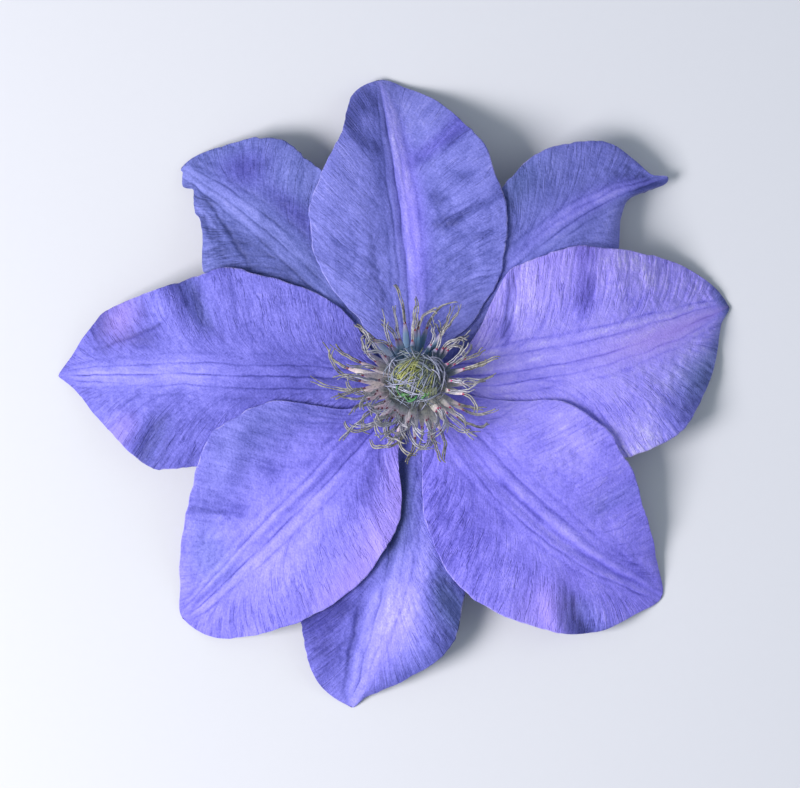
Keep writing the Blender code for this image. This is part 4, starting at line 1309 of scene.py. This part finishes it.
def sepal_finish():
    """Silky violet: tone, blush and slate from the blade, crossed by fine streaks along the nerves
    and a soft mottle, with a painted highlight along the rim and a paler underside. The tone and slate
    carry painted light and shade besides pigment, and the fine grooves are darkened as painted shade."""
    paint = Paint("violet_sepal", 0.55, Specular_IOR_Level=0.3, Sheen_Weight=0.12, Sheen_Roughness=0.4)
    nerves = paint.node("ShaderNodeUVMap", dict(uv_map="nerves"))
    place = paint.place()
    lined = paint.value("lined")
    drawn = paint.noise(nerves, 1, 3, 0.5, (5, 0.8, 1)) - 0.5
    contour = paint.node("ShaderNodeMath", dict(operation="ABSOLUTE"), {0: drawn})
    broken = paint.noise(nerves, 1, 2, 0.5, (4, 3, 1))
    # the fine grooves along the nerves are darkened in colour as painted shade, as well as sunk by the bump
    groove = paint.band(contour, 0.035, 0) * paint.band(broken, 0.38, 0.6) * lined
    streak = (paint.noise(nerves, 1, 4, 0.65, (16, 2.2, 1)) - 0.5) * (0.25 + lined * 0.75)
    fine = (paint.noise(nerves, 1, 3, 0.6, (40, 6, 1)) - 0.5) * (0.3 + lined * 0.7)
    grain = paint.noise(place, 1900, 2, 0.6) - 0.5
    mottle = paint.noise(place, 300, 4, 0.65)
    level = 0.5 + paint.value("tone") * 0.5 + streak * 0.42 + fine * 0.3 - groove * 0.12
    level = level + grain * 0.42 + (mottle - 0.5) * 0.27
    colour = paint.ramp(
        level,
        (0, 66, 62, 158), (0.3, 104, 98, 206), (0.55, 138, 130, 240), (0.8, 168, 158, 252),
        (1, 204, 196, 255))
    # the slate ramp: greyer, cooler colours that partly paint the hue of shade
    greyed = paint.ramp(
        level,
        (0, 54, 66, 122), (0.3, 90, 102, 170), (0.55, 120, 130, 204), (0.8, 152, 158, 230),
        (1, 192, 194, 246))
    colour = paint.mix(paint.value("slate"), colour, greyed)
    colour = paint.mix(paint.value("blush") * 0.6, colour, (184, 158, 248))
    # painted highlight: a thin pale line along the rim, where the edge would catch the light
    margin = paint.band(paint.value("margin"), 0.985, 0.999)
    colour = paint.mix(margin * paint.band(mottle, 0.4, 0.6) * 0.45, colour, (200, 192, 250))
    colour = paint.mix(paint.value("underside") * 0.6, colour, (176, 178, 226))
    paint.bump(streak * 0.4 + fine * 0.25 + grain * 0.35 - groove * 0.3, 0.75, 0.0006)
    return paint.colour(colour)


def filament_finish():
    """A pale strap with fine lines along it, its colour set by the side of the flower that it is
    on: grey-green to the right, teal behind, cream to the left, mauve in front. To the left and in
    front it is made paler than its own colour, as painted light where the nest shades it. It flushes
    pink towards a small joint, magenta to the right and dark crimson elsewhere."""
    paint = Paint("filament_cream", 0.5, Specular_IOR_Level=0.35)
    grown = paint.value("grown")
    side = paint.value("hue")
    place = paint.place()
    # the stops to the left and in front are paler than the strap's own colour: painted light where the nest
    # shades it
    base = paint.ramp(
        side + (paint.noise(place, 260, 2) - 0.5) * 0.16,
        (0, 168, 172, 180), (0.12, 142, 162, 180), (0.2, 104, 142, 174), (0.33, 112, 140, 172),
        (0.42, 196, 190, 200), (0.5, 240, 231, 224), (0.58, 234, 226, 230), (0.66, 222, 222, 230),
        (0.8, 228, 228, 220), (0.9, 222, 220, 214))
    streak = paint.noise(place, 1300, 3)
    base = paint.mix(paint.band(streak, 0.45, 0.7) * 0.45, base, (116, 124, 140))
    base = paint.mix(paint.band(grown, 0.4, 0.0) * 0.35, base, (128, 146, 158))
    base = paint.mix(paint.band(grown, 0.7, 0.95) * 0.35, base, (206, 148, 180))
    joint = paint.band(grown, 0.945, 0.96)
    red = paint.ramp(
        side,
        (0, 196, 44, 118), (0.14, 150, 36, 78), (0.3, 112, 36, 62), (0.7, 118, 34, 60),
        (0.88, 170, 38, 92))
    return paint.colour(paint.mix(joint, base, red))


def anther_finish():
    """Dried threads, grey-cream and lavender towards the middle of the brush and khaki further out,
    mottled dark and light, with the lower half of each thread darkened as painted shade."""
    paint = Paint("anther_khaki", 0.55, Specular_IOR_Level=0.4)
    grown = paint.value("grown")
    place = paint.place()
    speckle = paint.noise(place, 1500, 3, 0.65)
    patch = paint.noise(place, 420, 2)
    # painted shade: darker on the lower half of each thread, where lit, carried as across, is low
    level = speckle * 0.5 + patch * 0.5 - paint.band(paint.value("across"), 0.85, 0.5) * 0.05
    pale = paint.ramp(
        level,
        (0.36, 92, 92, 110), (0.44, 144, 144, 160), (0.52, 172, 173, 186), (0.62, 204, 204, 217))
    khaki = paint.ramp(
        level,
        (0.36, 66, 64, 56), (0.44, 118, 114, 98), (0.52, 154, 151, 134), (0.62, 194, 190, 174))
    colour = paint.mix(paint.value("hue"), pale, khaki)
    colour = paint.mix(paint.band(grown, 0.5, 1.0) * 0.45, colour, (108, 106, 82))
    colour = paint.mix(paint.band(grown, 0.05, 0.0), colour, (120, 50, 80))
    paint.bump(speckle, 0.6, 0.0003)
    return paint.colour(colour)


def nest_core_finish():
    """The shadowed inside of the nest."""
    paint = Paint("nest_core", 0.7)
    speckle = paint.noise(paint.place(), 900, 4)
    return paint.colour(paint.ramp(
        speckle, (0.3, 112, 124, 140), (0.5, 130, 142, 144), (0.7, 150, 158, 142)))


def style_finish():
    """Silky styles from thread to thread: green, yellow-green, grey-green, lavender, near white."""
    paint = Paint("style_silk", 0.45, Specular_IOR_Level=0.4)
    hue = paint.value("hue")
    speckle = paint.noise(paint.place(), 900, 3)
    colour = paint.ramp(
        hue + (speckle - 0.5) * 0.2,
        (0, 76, 142, 88), (0.12, 104, 146, 80), (0.22, 156, 162, 88), (0.36, 184, 188, 118),
        (0.5, 132, 144, 122), (0.65, 140, 152, 170), (0.8, 164, 168, 196), (1, 206, 206, 226))
    return paint.colour(paint.mix(paint.band(speckle, 0.48, 0.66) * 0.4, colour, (100, 106, 118)))


def receptacle_finish():
    """Green stalk, flushed with violet-brown in streaks that run along it."""
    paint = Paint("stub_green", 0.55)
    place = paint.place()
    streak = paint.noise(place, 500, 4, 0.6, (1, 1, 0.15))
    colour = paint.ramp(
        streak, (0.3, 84, 92, 48), (0.5, 122, 132, 74), (0.7, 140, 116, 110))
    paint.bump(streak, 0.4, 0.0004)
    return paint.colour(colour)


def floor_finish():
    """Plain pale matt paper."""
    paint = Paint("pale_floor", 0.85)
    grain = paint.noise(paint.place(), 400, 3)
    return paint.colour(paint.mix(grain * 0.2, (214, 217, 222), (206, 209, 215)))


# Stage


def make_floor():
    """A level sheet far wider than the flower."""
    mesh = bpy.data.meshes.new("floor")
    corners = [(x * FLOOR_REACH, y * FLOOR_REACH, 0) for x, y in ((-1, -1), (1, -1), (1, 1), (-1, 1))]
    mesh.from_pydata(corners, [], [(0, 1, 2, 3)])
    mesh.materials.append(floor_finish())
    floor = put("floor", mesh)


def make_light(name, azimuth, elevation, distance, size, power, colour):
    """A square soft light, its face square to the line from the flower's middle."""
    data = bpy.data.lights.new(name, "AREA")
    data.size = size
    data.energy = power
    data.color = colour
    lamp = put(name, data)
    turn, rise = math.radians(azimuth), math.radians(elevation)
    level = distance * math.cos(rise)
    x, y, z = level * math.cos(turn), level * math.sin(turn), distance * math.sin(rise)
    lamp.location = (x, y, z)
    lamp.rotation_euler = (math.atan2(level, z - LIGHT_TARGET), 0, math.atan2(x, -y))


def make_stage():
    """Floor, a pale even surround, a soft key from the left and a weak fill from the right."""
    make_floor()
    world = bpy.data.worlds.new("surround")
    world.use_nodes = True
    background = world.node_tree.nodes["Background"]
    background.inputs["Color"].default_value = (*SURROUND_COLOUR, 1)
    background.inputs["Strength"].default_value = SURROUND_STRENGTH
    bpy.context.scene.world = world
    bpy.context.scene.view_settings.view_transform = "Standard"
    make_light(
        "key", azimuth=198, elevation=40, distance=0.9, size=0.42, power=11, colour=(1, 0.95, 0.97))
    make_light(
        "fill", azimuth=15, elevation=35, distance=0.9, size=0.6, power=1, colour=(0.8, 0.85, 1))


def make_camera():
    """A long lens over the flower, looking straight down with the flower's back at the top."""
    low, high = CAD_BOX
    field = (high[0] - low[0]) / FLOWER_SHARE
    data = bpy.data.cameras.new("camera")
    data.lens = data.sensor_width * (CAMERA_HEIGHT - FOCUS_HEIGHT) / field
    data.clip_end = 20
    camera = put("camera", data)
    middle = (low[0] + high[0]) / 2 + field * LEFT_SHARE
    camera.location = (middle, (low[1] + high[1]) / 2, CAMERA_HEIGHT)
    bpy.context.scene.camera = camera


def main():
    make_camera()
    make_stage()
    violet = sepal_finish()
    for sepal in layered(SURFACES):
        make_sepal(sepal, violet)
    make_stamens(filament_finish(), anther_finish())
    make_pistil(nest_core_finish(), style_finish())
    make_receptacle(receptacle_finish())


main()
